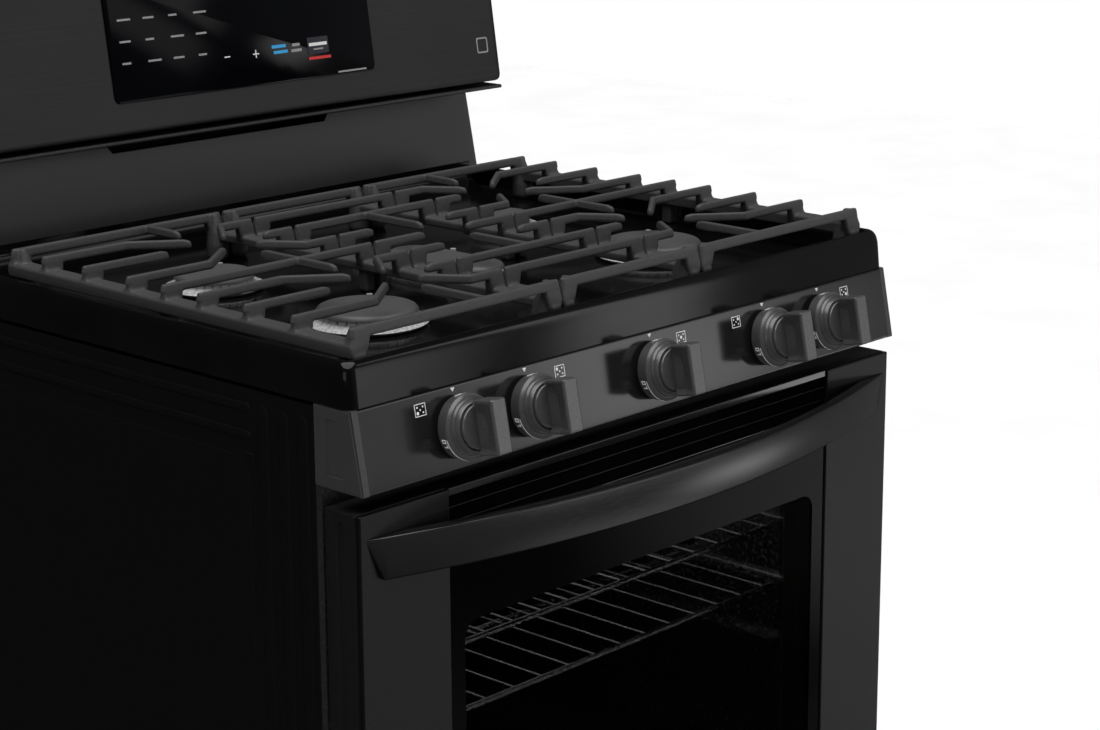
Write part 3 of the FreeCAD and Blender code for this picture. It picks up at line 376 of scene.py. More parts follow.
def at_x(x, ring):
    """A (y, z) ring set at a place across the range."""
    return [(x, y, z) for y, z in ring]


def loft(name, rings, crease=35.0, closed=True, capped=True):
    """A skin over rings that have the same number of points."""
    count = len(rings[0])
    points = [point for ring in rings for point in ring]
    faces = []
    for r in range(len(rings) - 1):
        for k in range(count if closed else count - 1):
            nxt = (k + 1) % count
            faces.append((r * count + k, r * count + nxt, (r + 1) * count + nxt, (r + 1) * count + k))
    if capped:
        faces.append(tuple(range(count - 1, -1, -1)))
        faces.append(tuple(range((len(rings) - 1) * count, len(rings) * count)))
    return mesh_piece(name, points, faces, crease)


# ------------------------------------------------------------------ cooktop
def lip_ring(front_in, side_in, radius, z):
    """The front and both sides of the top as one open line, left rear to right rear."""
    x = top_high[0] - side_in
    y = top_low[1] + front_in
    rear = top_high[1]
    ring = [(-x, rear - (rear - y - radius) * k / 4, z) for k in range(4)]
    for side, start in ((-1, 180), (1, 270)):
        for k in range(7):
            turn = math.radians(start + 15 * k)
            ring.append((*ray(side * (x - radius), y + radius, radius, turn), z))
    ring += [(x, rear - (rear - y - radius) * k / 4, z) for k in range(3, -1, -1)]
    return ring


def cooktop():
    """Pressed black top: upright skirt, rolled lip, coved wall and a sunk flat deck."""
    base = top_low[2]
    roll_in, roll_up = 7.6, 15.0
    crown = LIP_TOP - roll_up
    steps = [(0.6, base), (0.0, base + 0.8), (0.0, base + 15), (0.0, crown)]
    for k in range(1, 8):
        turn = math.radians(90 * k / 7)
        steps.append((roll_in - roll_in * math.cos(turn), crown + roll_up * math.sin(turn)))
    steps.append((8.2, LIP_TOP))
    for k in range(1, 6):
        turn = math.radians(90 * k / 5)
        steps.append((8.2 + 3.4 * math.sin(turn), LIP_TOP - 3.8 + 3.8 * math.cos(turn)))
    steps.append((11.6, DECK + 4.0))
    for k in range(1, 6):
        turn = math.radians(90 * k / 5)
        steps.append((15.3 - 3.7 * math.cos(turn), DECK + 4.0 - 3.8 * math.sin(turn)))
    steps.append((18.0, DECK + 0.2))
    rings = []
    for s, z in steps:
        lean = 3.0 * min(1.0, (z - base) / 29.0) if s < 8 else 3.0
        rings.append(lip_ring(s + lean, s, 12.0 - 0.3 * s, z))
    return loft("cooktop_top", rings, 30.0, closed=False)


dress(cooktop(), "cabinet", "enamel", "enamel_black", "cooktop")

# A quarter-round cove fills the corner between the deck and the backguard.
COVE = 24
wall_y = guard_low[1] - 0.4
cove = []
for k in range(9):
    bend = math.radians(90 * k / 8)
    cove.append((wall_y - COVE + COVE * math.sin(bend), DECK + 0.3 + COVE - COVE * math.cos(bend)))
cove += [(wall_y, DECK + 30), (guard_low[1] + 2, DECK + 30), (guard_low[1] + 2, DECK - 3),
         (guard_low[1] - 25, DECK - 3)]
cove_x = top_high[0] - 15.2
dress(prism("cooktop_cove", cove, -cove_x, cove_x), "cabinet", "enamel", "enamel_black")


# ------------------------------------------------------------------ burners
ROUND_STEPS = 72


def oval(x, y, radius, half_run, z):
    """A circle whose front and rear halves stand half_run away from its middle."""
    points = []
    for k in range(ROUND_STEPS):
        turn = 2 * math.pi * k / ROUND_STEPS
        px, py = ray(x, y, radius, turn)
        points.append((px, py + math.copysign(half_run, math.sin(turn) + 1e-9), z))
    return points


def slit_wall(x, y, outer, inner, half_run, low, high, slits):
    """Head wall with upright slits: an upright skin that steps in and out round the head."""
    rim = []
    for k in range(slits):
        for share, radius in ((0.0, outer), (0.86, outer), (0.88, inner), (0.98, inner)):
            turn = 2 * math.pi * (k + share) / slits
            px, py = ray(0, 0, radius, turn)
            rim.append((x + px, y + py + math.copysign(half_run, math.sin(turn))))
    return [[(px, py, z) for px, py in rim] for z in (low, high)]


# Steps out from the cap's radius and up from the deck, along the flared base.
FLARE = ((4, 0.2), (6, 1.2), (9.5, 3.4), (9.8, 4.0), (9.0, 4.5), (4.0, 5.4), (0, 6.8), (-2.6, 8.4), (-6, 8.8))
flares = []
walls = []
for name in KNOBS:
    low, high = span("burner_cap_" + name)
    x, y = (low[0] + high[0]) / 2, (low[1] + high[1]) / 2
    radius = (high[0] - low[0]) / 2
    half_run = (high[1] - low[1]) / 2 - radius
    flare = [oval(x, y, radius + more, half_run, DECK + up) for more, up in FLARE]
    flares.append(loft(name + "_flare", flare, 40.0))
    slits = 30 if radius > 35 else 22
    wall = slit_wall(x, y, radius - 2, radius - 4.4, half_run, DECK + 7.6, low[2] - 0.2, slits)
    walls.append(loft(name + "_wall", wall, 20.0))
    cap = [oval(x, y, radius - less, half_run, z) for less, z in (
        (3, low[2]), (0.8, low[2]), (0, low[2] + 1.0), (0.4, low[2] + 2.4), (2.0, high[2] - 1.2),
        (4.0, high[2] - 0.25), (6.5, high[2]), (9, high[2]))]
    dress(loft("cap_" + name, cap, 40.0), "cap_" + name, "cap_enamel", "burner_enamel", "burner_cap_" + name)
dress(together("burner_flares", flares), "cabinet", "alloy", "burner_alloy", "burner_heads")
dress(together("burner_walls", walls), "cabinet", "head_wall", "burner_alloy", "burner_heads")


# ------------------------------------------------------------------ grates
def hull(points):
    """Convex hull of points in millimetres, as a piece to be joined."""
    bm = bmesh.new()
    for point in points:
        bm.verts.new(Vector(point) * MM)
    result = bmesh.ops.convex_hull(bm, input=bm.verts)
    inside = [item for item in result["geom_interior"] if isinstance(item, bmesh.types.BMVert)]
    bmesh.ops.delete(bm, geom=inside, context="VERTS")
    return emit("hull", bm)


def stud(x, y, top=GRATE_TOP, depth=8.5, wide=1.0):
    """An upright stud: narrow flat top, sides that widen down to a rounded underside."""
    points = []
    for radius, z in ((2.0, top), (2.7, top - 0.9), (3.8, top - depth + 2.0), (3.0, top - depth)):
        for k in range(10):
            points.append((*ray(x, y, radius * wide, math.pi * k / 5), z))
    return points


def finger(spots, free_end=True):
    """Straight runs through (x, y) points; a free end dips a little."""
    pieces = []
    for index, (start, end) in enumerate(zip(spots, spots[1:])):
        if free_end and index == len(spots) - 2:
            run = math.hypot(end[0] - start[0], end[1] - start[1])
            share = (run - 6.0) / run
            knee = (start[0] + (end[0] - start[0]) * share, start[1] + (end[1] - start[1]) * share)
            pieces.append(hull(stud(*start) + stud(*knee)))
            pieces.append(hull(stud(*knee) + stud(*end, GRATE_TOP - 1.6, 6.5, 0.9)))
        else:
            pieces.append(hull(stud(*start) + stud(*end)))
    return pieces


def slab(x0, x1, y0, y1, z0, z1, chamfer):
    """A block with chamfered upright and top edges."""
    points = []
    for z, inset in ((z0, 0.0), (z1 - chamfer, 0.0), (z1, chamfer)):
        for x in (x0 + inset, x1 - inset):
            for y in (y0 + inset, y1 - inset):
                points.append((x, y, z))
    return hull(points)


RAIL_TOP = DECK + 31.0
ROWS_Y = (-274.2, -203.0, -140.0, -77.0, -26.0, 25.0, 91.0, 154.0, 204.4)
# The corner posts from top to foot: radius, distance in from the end row, and height.
POST = ((3.4, 4.2, GRATE_TOP), (5.0, 5.6, GRATE_TOP - 6), (8.5, 7.9, RAIL_TOP - 2),
        (11.5, 7.9, RAIL_TOP - 14), (12.0, 7.9, DECK + 5), (9.0, 7.9, DECK + FOOT_GAP))


def grate_edges(x_low, x_high, outer_low, outer_high):
    """End bars, comb rails along both sides with a post at each row, feet, and corner posts."""
    pieces = []
    front, rear = ROWS_Y[0], ROWS_Y[-1]
    for y in (front, rear):
        ends = [stud(x, y, depth=9.5, wide=1.15) for x in (x_low + 6, x_high - 6)]
        pieces.append(hull(ends[0] + ends[1]))
    for edge, side, outside in ((x_low, 1, outer_low), (x_high, -1, outer_high)):
        deep = 20.0 if outside else 17.0
        xs = sorted((edge, edge + side * deep))
        crest = RAIL_TOP + (3.5 if outside else 0.0)
        pieces.append(slab(*xs, front - 4, rear + 4, RAIL_TOP - 9, crest, 2.0))
        for index, y in enumerate(ROWS_Y):
            points = stud(edge + side * (7.5 if outside else 4.5), y)
            for reach_in, half_y, z in ((deep + 3.0, 4.2, GRATE_TOP - 12), (deep + 1.0, 4.2, RAIL_TOP - 4),
                                        (0, 5.4, RAIL_TOP - 3), (1.5, 5.4, RAIL_TOP - 6)):
                points += [(edge + side * reach_in, y - half_y, z), (edge + side * reach_in, y + half_y, z)]
            points += stud(edge + side * deep, y)
            pieces.append(hull(points))
            if index in (0, 4, 8):
                pieces.append(slab(xs[0] + 3, xs[1] - 3, y - 6, y + 6, DECK + FOOT_GAP, RAIL_TOP - 5, 1.5))
        for y, toward in ((front, 1), (rear, -1)):
            points = []
            for radius, along, z in POST:
                for k in range(12):
                    points.append((*ray(edge + side * 12.2, y + toward * along, radius, math.pi * k / 6), z))
            pieces.append(hull(points))
    return pieces


def cast(name, pieces, body, node):
    """Run the pieces together as one casting with soft inner corners."""
    piece = together(name, pieces)
    remesh = piece.modifiers.new("remesh", "REMESH")
    remesh.mode = "VOXEL"
    remesh.voxel_size = 1.25 * MM
    smooth = piece.modifiers.new("smooth", "SMOOTH")
    smooth.iterations = 2
    smooth.factor = 0.5
    thin = piece.modifiers.new("thin", "DECIMATE")
    thin.ratio = 0.3
    reshade(baked(piece), 60.0)
    dress(piece, body, "iron", "cast_iron", node)


def side_grate(side):
    """The right grate, mirrored for the left one."""
    x_in, x_out = grate_low[0], grate_high[0]
    pieces = grate_edges(x_in, x_out, False, True)
    seam, reach = x_in + 4.5, x_out - 4.5
    inner, outer, spine = 142.0, 261.0, 195.0
    for front, middle, rear in ((1, 2, 3), (5, 6, 7)):
        pieces += finger([(seam, ROWS_Y[middle]), (136.0, ROWS_Y[middle])])
        pieces += finger([(reach, ROWS_Y[middle]), (outer, ROWS_Y[middle])])
        for row, toward in ((front, 38.0), (rear, -38.0)):
            y = ROWS_Y[row]
            pieces += finger([(seam, y), (inner, y), (inner + 27, y + toward)])
            pieces += finger([(reach, y), (outer, y), (outer - 48, y + toward)])
    pieces += finger([(seam, ROWS_Y[4]), (reach, ROWS_Y[4])], False)
    pieces += finger([(spine, ROWS_Y[4]), (spine, ROWS_Y[4] - 51)])
    pieces += finger([(spine, ROWS_Y[4]), (spine, ROWS_Y[4] + 51)])
    pieces += finger([(spine, ROWS_Y[0]), (spine, ROWS_Y[0] + 78)])
    pieces += finger([(spine, ROWS_Y[-1]), (spine, ROWS_Y[-1] - 50)])
    if side < 0:
        for piece in pieces:
            mirror(piece)
    which = "left" if side < 0 else "right"
    cast(which + "_casting", pieces, which + "_grate", "grate_" + which)


def centre_grate():
    """The narrow grate between the side grates."""
    seam = span("grate_centre")[1][0]
    pieces = grate_edges(-seam, seam, False, False)
    reach = seam - 4.5
    for row in (1, 2, 6, 7):
        pieces += finger([(-reach, ROWS_Y[row]), (reach, ROWS_Y[row])], False)
    for side in SIDES:
        for row in (3, 5):
            pieces += finger([(side * reach, ROWS_Y[row]), (side * (seam - 44), ROWS_Y[row])])
        pieces += finger([(side * reach, ROWS_Y[4]), (side * 32.0, ROWS_Y[4])])
    pieces += finger([(0, ROWS_Y[2]), (0, ROWS_Y[2] + 76)])
    pieces += finger([(0, ROWS_Y[6]), (0, ROWS_Y[6] - 82)])
    cast("centre_casting", pieces, "centre_grate", "grate_centre")


side_grate(-1)
centre_grate()
side_grate(1)


# ------------------------------------------------------------------ backguard
def box_front(z):
    """Y of the control box's leaning face at a height."""
    lower, upper = box_low[1], touch_high[1] + (RANGE_TOP - touch_high[2]) * FACE_RUN
    return lower + (upper - lower) * (z - box_low[2] - 5) / (RANGE_TOP - box_low[2] - 5)


GLASS_THICK = 2.0
FACE_RUN = (touch_high[1] - touch_low[1] - GLASS_THICK) / (touch_high[2] - touch_low[2])


def control_box():
    """The leaning control box with rounded front edges, on its plinth."""
    x = box_high[0]
    low, high = box_low[2] + 5.0, RANGE_TOP
    rings = []
    for inset, back in ((6.0, 0.0), (2.2, 0.0), (0.7, 0.7), (0.0, 2.4)):
        ring = round_rect(-x + inset, x - inset, low + inset, high - inset, max(8.0 - inset, 2.0))
        rings.append([(px, box_front(pz) + back, pz) for px, pz in ring])
    rings.append([(px, box_high[1], pz) for px, pz in round_rect(-x, x, low, high, 8.0)])
    shell = loft("box_shell", rings, 40.0)
    plinth = brick("box_plinth", -356, 356, guard_high[1] - 24, box_high[1], box_low[2], low + 1)
    return together("control_housing", [shell, plinth])


dress(reshade(control_box()), "cabinet", "box_steel", "panel_steel", "control_box")
for node, name, width, steps, finish, slot in (
        ("backguard_lower", "splash_panel", 1.0, 3, "guard_satin", "dark_steel"),
        ("backguard_shelf", "shelf_plate", 1.4, 3, "guard_satin", "dark_steel"),
        ("backguard_cover", "rear_cover", 1.5, 2, "side_paint", "side_black")):
    dress(soften(clone(node, name), width, steps), "cabinet", finish, slot, node)


def on_box(ring, off):
    """An (x, z) ring standing off mm in front of the box face."""
    return [(px, box_front(pz) - off, pz) for px, pz in ring]


def touch_plate():
    """The touch glass, with its front edge drawn in."""
    ring = round_rect(touch_low[0], touch_high[0], touch_low[2], touch_high[2], 7.0)
    middle_x = sum(px for px, pz in ring) / len(ring)
    middle_z = sum(pz for px, pz in ring) / len(ring)
    inner = []
    for px, pz in ring:
        reach = math.hypot(px - middle_x, pz - middle_z)
        inner.append((px - (px - middle_x) / reach * 0.8, pz - (pz - middle_z) / reach * 0.8))
    rings = [on_box(ring, 0.0), on_box(ring, GLASS_THICK * 0.7), on_box(inner, GLASS_THICK)]
    return loft("touch_plate", rings, 50.0)


dress(touch_plate(), "cabinet", "touch_glass", "touch_glass", "control_glass")

# Generic key marks: minus and plus, short dashes for labels and a boxed key with a red underline.
MARKS = [
    ("minus_bar", -33, -25.5, 1091.6, 1092.8, "glowing_white_ink"),
    ("plus_bar", 6, 14.5, 1091.0, 1092.2, "glowing_white_ink"),
    ("plus_stem", 9.6, 10.9, 1087.6, 1095.6, "glowing_white_ink"),
    ("mode_line", 33, 53, 1095.0, 1098.4, "glowing_blue_ink"),
    ("mode_under", 35, 55, 1089.0, 1092.2, "glowing_blue_ink"),
    ("clean_line", 62, 73, 1094.8, 1097.8, "glowing_dim_ink"),
    ("clean_under", 60, 75, 1088.8, 1091.8, "glowing_dim_ink"),
    ("stop_key", 84, 114, 1084.0, 1102.0, "key_tone"),
    ("stop_label", 86, 112, 1092.6, 1096.0, "glowing_white_ink"),
    ("stop_label_under", 92, 106, 1088.2, 1089.8, "glowing_dim_ink"),
    ("stop_line", 84, 116, 1078.0, 1081.0, "glowing_red_ink"),
    ("note_line", 124, 166, 1060.2, 1062.0, "glowing_dim_ink"),
]
for column in range(4):
    for row in range(3):
        left = -166 + 33 * column
        MARKS.append(("label_%d_%d" % (column, row), left, left + 17 - 3 * ((column + row) % 3),
                      1141 - 22 * row, 1143 - 22 * row, "glowing_dim_ink"))
for name, x0, x1, z0, z1, finish in MARKS:
    off = GLASS_THICK + (0.15 if name.startswith("stop_label") else 0.05)
    corners = ((x0, z0), (x1, z0), (x1, z1), (x0, z1))
    mark = loft(name, [on_box(corners, off), on_box(corners, off + 0.2)], 30.0)
    dress(mark, "cabinet", finish, "touch_glass")
badge = round_rect(345.0, 363.0, 1060.0, 1078.0, 2.5)
badge_inner = round_rect(346.6, 361.4, 1061.6, 1076.4, 1.8)
badge_rings = [on_box(badge, 0.05), on_box(badge, 0.35), on_box(badge_inner, 0.35), on_box(badge_inner, 0.05)]
dress(loft("badge_rim", badge_rings, capped=False), "cabinet", "glowing_dim_ink", "panel_steel")


# ------------------------------------------------------------------ cabinet sides
def pad(name, ring, base, top, inset):
    """A raised field on the left side: a (y, z) outline that steps out to the left with a soft edge."""
    middle_y = sum(y for y, z in ring) / len(ring)
    middle_z = sum(z for y, z in ring) / len(ring)
    half_y = max(abs(y - middle_y) for y, z in ring)
    half_z = max(abs(z - middle_z) for y, z in ring)
    rings = []
    for amount, x in ((0.0, base), (0.25 * inset, base + 0.45 * (top - base)),
                      (0.6 * inset, base + 0.85 * (top - base)), (inset, top), (1.8 * inset, top)):
        rings.append([(x, middle_y + (y - middle_y) * (1 - amount / half_y),
                       middle_z + (z - middle_z) * (1 - amount / half_z)) for y, z in ring])
    return loft(name, rings, 60.0)


def side_panel(side):
    """Sheet side with pressed ribs by its front edge and along its top."""
    front, rear = side_low[1], side_high[1]
    low, top = side_low[2], side_high[2] - 3.5
    sheet_x = -378.1
    rings = []
    for x, i in ((-376.9, 0.0), (sheet_x + 0.6, 0.0), (sheet_x, 0.7), (sheet_x, 3.0)):
        rings.append(at_x(x, round_rect(front + i, rear - i, low + i, top - i, 3.0)))
    parts = [loft("sheet", rings, 50.0)]
    for y0, y1 in ((-242.5, -228.5), (-217.0, -204.0), (-191.0, -177.5)):
        parts.append(pad("rib", round_rect(y0, y1, low + 40, top - 11.5, 6.4), sheet_x, -379.4, 3.0))
    for z0, z1 in ((855.0, 863.5), (830.0, 838.5)):
        parts.append(pad("rib", round_rect(-167.5, rear - 40, z0, z1, 4.0), sheet_x, -379.3, 2.0))
    parts.append(pad("corner", [(-171.5, 819.0), (-155.0, 819.0), (-171.5, 804.0)], sheet_x, -379.2, 1.4))
    parts.append(pad("field", round_rect(-165.0, rear - 40, low + 40, 815.0, 22.0), sheet_x, -379.1, 3.0))
    piece = together("side_sheet_" + ("left" if side < 0 else "right"), parts)
    if side > 0:
        mirror(piece)
    return piece


for side, which in ((-1, "left"), (1, "right")):
    dress(side_panel(side), "cabinet", "side_paint", "side_black", "side_panel_" + which)


# ------------------------------------------------------------------ control panel
def panel_profile(round_to):
    """The panel's (y, z) section with rounded front corners."""
    front_low = (panel_low[1], panel_low[2])
    front_high = (panel_low[1] + PANEL_LEAN, panel_high[2])
    points = [(side_low[1], panel_low[2])]
    for corner, before, after in ((front_low, (side_low[1], front_low[1]), front_high),
                                  (front_high, front_low, (side_low[1], front_high[1]))):
        a, b, c = Vector((*before, 0)), Vector((*corner, 0)), Vector((*after, 0))
        start, stop = b + (a - b).normalized() * round_to, b + (c - b).normalized() * round_to
        for k in range(5):
            t = k / 4
            spot = start * (1 - t) ** 2 + b * 2 * t * (1 - t) + stop * t ** 2
            points.append((spot.x, spot.y))
    points.append((side_low[1], panel_high[2]))
    return points


panel_face = prism("panel_face", panel_profile(2.6), panel_low[0], panel_high[0])
dress(panel_face, "cabinet", "satin", "panel_steel", "control_panel")


def end_cap(side):
    """Metal end of the panel: a shell behind a face with a sunk slanting recess."""
    x = caps_high[0]
    shell = prism("shell", panel_profile(1.6), side * panel_high[0], side * (x - 1.6))
    back, low, top = side_low[1] - 0.5, panel_low[2] + 0.8, panel_high[2] - 0.8
    outer = [(back, low), (back, top), (panel_low[1] + PANEL_LEAN + 1.2, top), (panel_low[1] + 1.2, low)]
    face = [(y + (0.8 if y < -260 else -0.8), z + (0.8 if z < 840 else -0.8)) for y, z in outer]
    recess = [(-267.0, panel_low[2] + 11.5), (-267.0, panel_high[2] - 11.0), (-278.5, panel_high[2] - 11.0),
              (-287.0, panel_low[2] + 11.5)]
    sunk = [(y + (0.6 if y < -270 else -0.6), z + (-0.8 if z > 840 else 0.8)) for y, z in recess]
    rings = []
    for less, ring in ((1.7, outer), (0.5, outer), (0.0, face), (0.0, recess), (0.9, sunk)):
        rings.append(at_x(side * (x - less), ring))
    return [shell, loft("face", rings, 30.0)]


dress(together("end_caps", end_cap(-1) + end_cap(1)), "cabinet", "cap_satin", "dark_steel", "panel_end_caps")


# ------------------------------------------------------------------ oven door
DOOR_X = liner_high[0]
WINDOW = (-254.0, 254.0, 336.0, 662.0)


def door_body():
    """Door pan with an embossed channel down each side."""
    pan = clone("door_liner", "pan")
    for vertex in pan.data.vertices:
        vertex.co.x *= (DOOR_X - 2.0) / DOOR_X
    parts = [soften(pan, 1.2, 2)]
    near, far, low, top = skin_high[1], liner_high[1], liner_low[2], liner_high[2]
    outer = round_rect(near - 0.2, far - 0.3, low + 15.0, top - 0.3, 1.0)
    rim = round_rect(near + 0.2, far - 0.8, low + 15.5, top - 0.8, 0.8)
    channel = round_rect(-287.5, -273.5, low + 26.0, top - 10.0, 6.8)
    bottom = round_rect(-285.8, -275.2, low + 27.7, top - 11.7, 5.2)
    for side in SIDES:
        rings = []
        for less, ring in ((2.1, outer), (0.4, outer), (0.0, rim), (0.0, channel), (1.6, bottom)):
            rings.append(at_x(side * (DOOR_X - less), ring))
        parts.append(loft("cheek", rings, 30.0))
    return together("door_body", parts)


dress(reshade(door_body()), "oven_door", "side_steel", "dark_steel", "door_liner")

column_x = glass_high[0] + 0.3
low, high, sill = skin_low[2], skin_high[2], glass_low[2] - 0.3
frame_outline = [(-DOOR_X, low), (DOOR_X, low), (DOOR_X, high), (column_x, high), (column_x, sill),
                 (-column_x, sill), (-column_x, high), (-DOOR_X, high)]
door_frame = soften(prism("door_frame", frame_outline, skin_low[1], skin_high[1], "Y"), 1.8, 4)
dress(door_frame, "oven_door", "door_steel", "panel_steel", "door_skin")

window_outline = round_rect(*WINDOW, 16.0)
frit_outline = round_rect(glass_low[0], glass_high[0], glass_low[2], glass_high[2], 1.5)
frit_rings = []
for ring, y in ((frit_outline, glass_high[1]), (frit_outline, glass_low[1]), (window_outline, glass_low[1]),
                (window_outline, glass_high[1]), (frit_outline, glass_high[1])):
    frit_rings.append([(x, y, z) for x, z in ring])
frit = loft("window_frit", frit_rings, 30.0, capped=False)
dress(frit, "oven_door", "black_glass", "dark_glass", "door_glass_outer")
window_pane = prism("window_pane", window_outline, glass_low[1] + 0.3, glass_high[1] - 0.3, "Y")
dress(window_pane, "oven_door", "window", "dark_glass", "door_glass_outer")
dress(clone("door_glass_inner", "inner_pane"), "oven_door", "inner_window", "dark_glass", "door_glass_inner")

vent_x = vent_high[0]
vent_back = brick("vent_back", -vent_x, vent_x, vent_high[1] - 0.8, vent_high[1], vent_low[2], vent_high[2])
dress(vent_back, "oven_door", "black_plastic", "black_plastic", "door_vent_trim")
strips = []
for set_back, z0, z1, edge in ((0.0, 783.0, vent_high[2], 0.8), (1.0, 771.6, 772.4, 0.2),
                               (1.0, 758.1, 758.9, 0.2), (1.0, 745.6, 746.4, 0.2)):
    strip = brick("strip", -vent_x, vent_x, vent_low[1] + set_back, vent_high[1] - 0.7, z0, z1)
    strips.append(soften(strip, edge, 2))
dress(together("vent_louvres", strips), "oven_door", "satin", "panel_steel", "door_vent_trim")


# ------------------------------------------------------------------ handle
def door_handle():
    """Flat bow bar: thick crescent section, rounded edges, raked pointed ends."""
    half = handle_high[0]
    bow = handle_high[1] - handle_low[1]
    thick, foot, rake = 14.0, 41.0, 16.0
    outer_r = (half ** 2 + bow ** 2) / (2 * bow)
    inner_half, inner_bow = half - foot, bow - thick
    inner_r = (inner_half ** 2 + inner_bow ** 2) / (2 * inner_bow)
    z0, z1 = handle_low[2], handle_high[2]
    stations = [-half + along for along in (0.3, 2, 5, 9, 13, rake, 20, 28, 36, foot)]
    stations += [-inner_half + 2 * inner_half * k / 60 for k in range(1, 60)]
    stations += [-x for x in reversed(stations[:10])]
    rings = []
    for x in stations:
        y_front = handle_low[1] + outer_r - math.sqrt(outer_r ** 2 - x ** 2)
        y_back = handle_high[1]
        if abs(x) < inner_half:
            y_back = min(y_back, handle_low[1] + thick + inner_r - math.sqrt(inner_r ** 2 - x ** 2))
        low = z0 + max(0.0, (abs(x) - (half - rake)) / rake) * (z1 - z0) * 0.94
        radius = max(0.1, min(2.2, (y_back - y_front) / 2.2, (z1 - low) / 2.2))
        rings.append(at_x(x, round_rect(y_front, max(y_back, y_front + 0.3), low, z1, radius, 4)))
    return loft("handle_bar", rings, 40.0)


dress(door_handle(), "oven_door", "handle_steel", "panel_steel", "door_handle")


# ------------------------------------------------------------------ drawer
dress(soften(clone("drawer_front", "drawer_face"), 2.0, 3), "storage_drawer", "door_steel", "panel_steel",
      "drawer_front")


# ------------------------------------------------------------------ knobs
FACE_MID = Vector((0, panel_low[1] + PANEL_LEAN / 2, panel_low[2] + PANEL_HEIGHT / 2))


def on_face(x, across, up, out):
    """A point near the panel face: across and up along it, out square to it."""
    return FACE_MID + Vector((x + across, 0, 0)) + FACE_UP * up + FACE_OUT * out


def face_turned(name, x, profile, steps=96):
    """A profile of (radius, out) pairs turned about an axis square to the panel face."""
    rings = []
    for radius, out in profile:
        rings.append([on_face(x, *ray(0, 0, radius, 2 * math.pi * k / steps), out) for k in range(steps)])
    return loft(name, rings)


def face_patch(name, x, outline, top=0.25):
    """A thin printed patch on the panel face, from an outline of (across, up) pairs."""
    return loft(name, [[on_face(x, across, up, out) for across, up in outline] for out in (0.05, top)])


# The knob's skirt, grooved cone, sunk ring and face, as radius and distance out from the panel.
KNOB_PROFILE = (
    (22.0, 4.0), (27.4, 4.0), (28.2, 4.7), (28.7, 9.0), (29.3, 14.2), (29.45, 15.4), (29.2, 16.4),
    (28.2, 17.3), (26.6, 18.4), (26.3, 17.9), (25.7, 18.1), (25.3, 19.6), (24.4, 21.2), (24.1, 20.7),
    (23.6, 20.9), (23.3, 22.2), (22.4, 24.2), (21.6, 25.0), (20.9, 24.9), (20.4, 24.0), (20.1, 21.6),
    (19.6, 21.6), (19.5, 26.6), (19.0, 27.4), (18.4, 27.6), (6.0, 27.6))


def knob(name, x):
    """The turned body with a grip bar that is scooped on both sides for the fingers."""
    body = face_turned("body", x, KNOB_PROFILE)
    length, tip, floor_out, waist = 24.3, 54.8, 27.4, 2.6
    sections = []
    for k in range(-20, 21):
        up = length * math.sin(math.pi * k / 40)
        share = abs(up) / length
        ends = max(0.0, (share - 0.93) / 0.07) ** 2
        half = 9.0 - 0.9 * ends
        top = tip - 1.6 * ends
        closed = min(1.0, max(0.0, (abs(up) - 19.0) / 3.0))
        narrow = waist + (half - waist) * closed
        base = floor_out + max(0.0, abs(up) - 18.6) * 1.1
        knee = max(base + 0.5, floor_out + 12.0 * math.sqrt(max(0.0, 1 - (up / 21.0) ** 2)))
        right = [(narrow, base), (narrow, knee), (narrow + 0.48 * (half - narrow), (knee + top) / 2),
                 (half, top - 2.2), (half - 0.5, top - 0.7), (half - 1.9, top)]
        ring = [(-across, out) for across, out in right] + [(across, out) for across, out in reversed(right)]
        sections.append([on_face(x, across, up, out) for across, out in ring])
    grip = loft("grip", sections, 42.0)
    return together("knob_piece_" + name, [body, grip])


def on_skirt(x, turn, out, lift=0.06):
    """A point on the knob's skirt wall: turn in degrees from the right, out from the panel."""
    radius = knob_high[0] - 0.8 + 0.6 * (out - 9.0) / 5.2 + lift
    return on_face(x, *ray(0, 0, radius, math.radians(turn)), out)


def skirt_stroke(x, turn0, turn1, out0, out1):
    """A printed patch on the skirt wall, bent round it."""
    steps = max(2, int(abs(turn1 - turn0) / 3))
    rings = []
    for k in range(steps + 1):
        turn = turn0 + (turn1 - turn0) * k / steps
        rings.append([on_skirt(x, turn, out0), on_skirt(x, turn, out1), on_skirt(x, turn, out1, 0.25),
                      on_skirt(x, turn, out0, 0.25)])
    return loft("stroke", rings)


def letter(x, turn, strokes):
    """Strokes of one letter: each runs along the skirt (degrees) or out from the panel (mm)."""
    return [skirt_stroke(x, turn - a0, turn - a1, LETTER_FOOT - b1, LETTER_FOOT - b0)
            for a0, a1, b0, b1 in strokes]


LETTER_FOOT = 12.6
STROKE = 0.75
LETTER_O = ((0, 7.2, 0, STROKE), (0, 7.2, 4.0, 4.0 + STROKE), (0, 1.5, 0, 4.75), (5.7, 7.2, 0, 4.75))
LETTER_L = ((0, 1.5, 0, 4.75), (0, 6.4, 0, STROKE))
LETTER_F = ((0, 1.5, 0, 4.75), (0, 5.8, 4.0, 4.0 + STROKE), (0, 4.8, 2.0, 2.0 + STROKE))


def knob_marks(name, x):
    """OFF at the top, LO at the left and a thin arc along the front edge of the skirt."""
    pieces = []
    for turn, strokes in ((102, LETTER_O), (92.5, LETTER_F), (84, LETTER_F), (207.5, LETTER_L),
                          (198.5, LETTER_O)):
        pieces += letter(x, turn, strokes)
    pieces.append(skirt_stroke(x, 192, 255, 14.5, 15.2))
    return together("knob_marks_" + name, pieces)


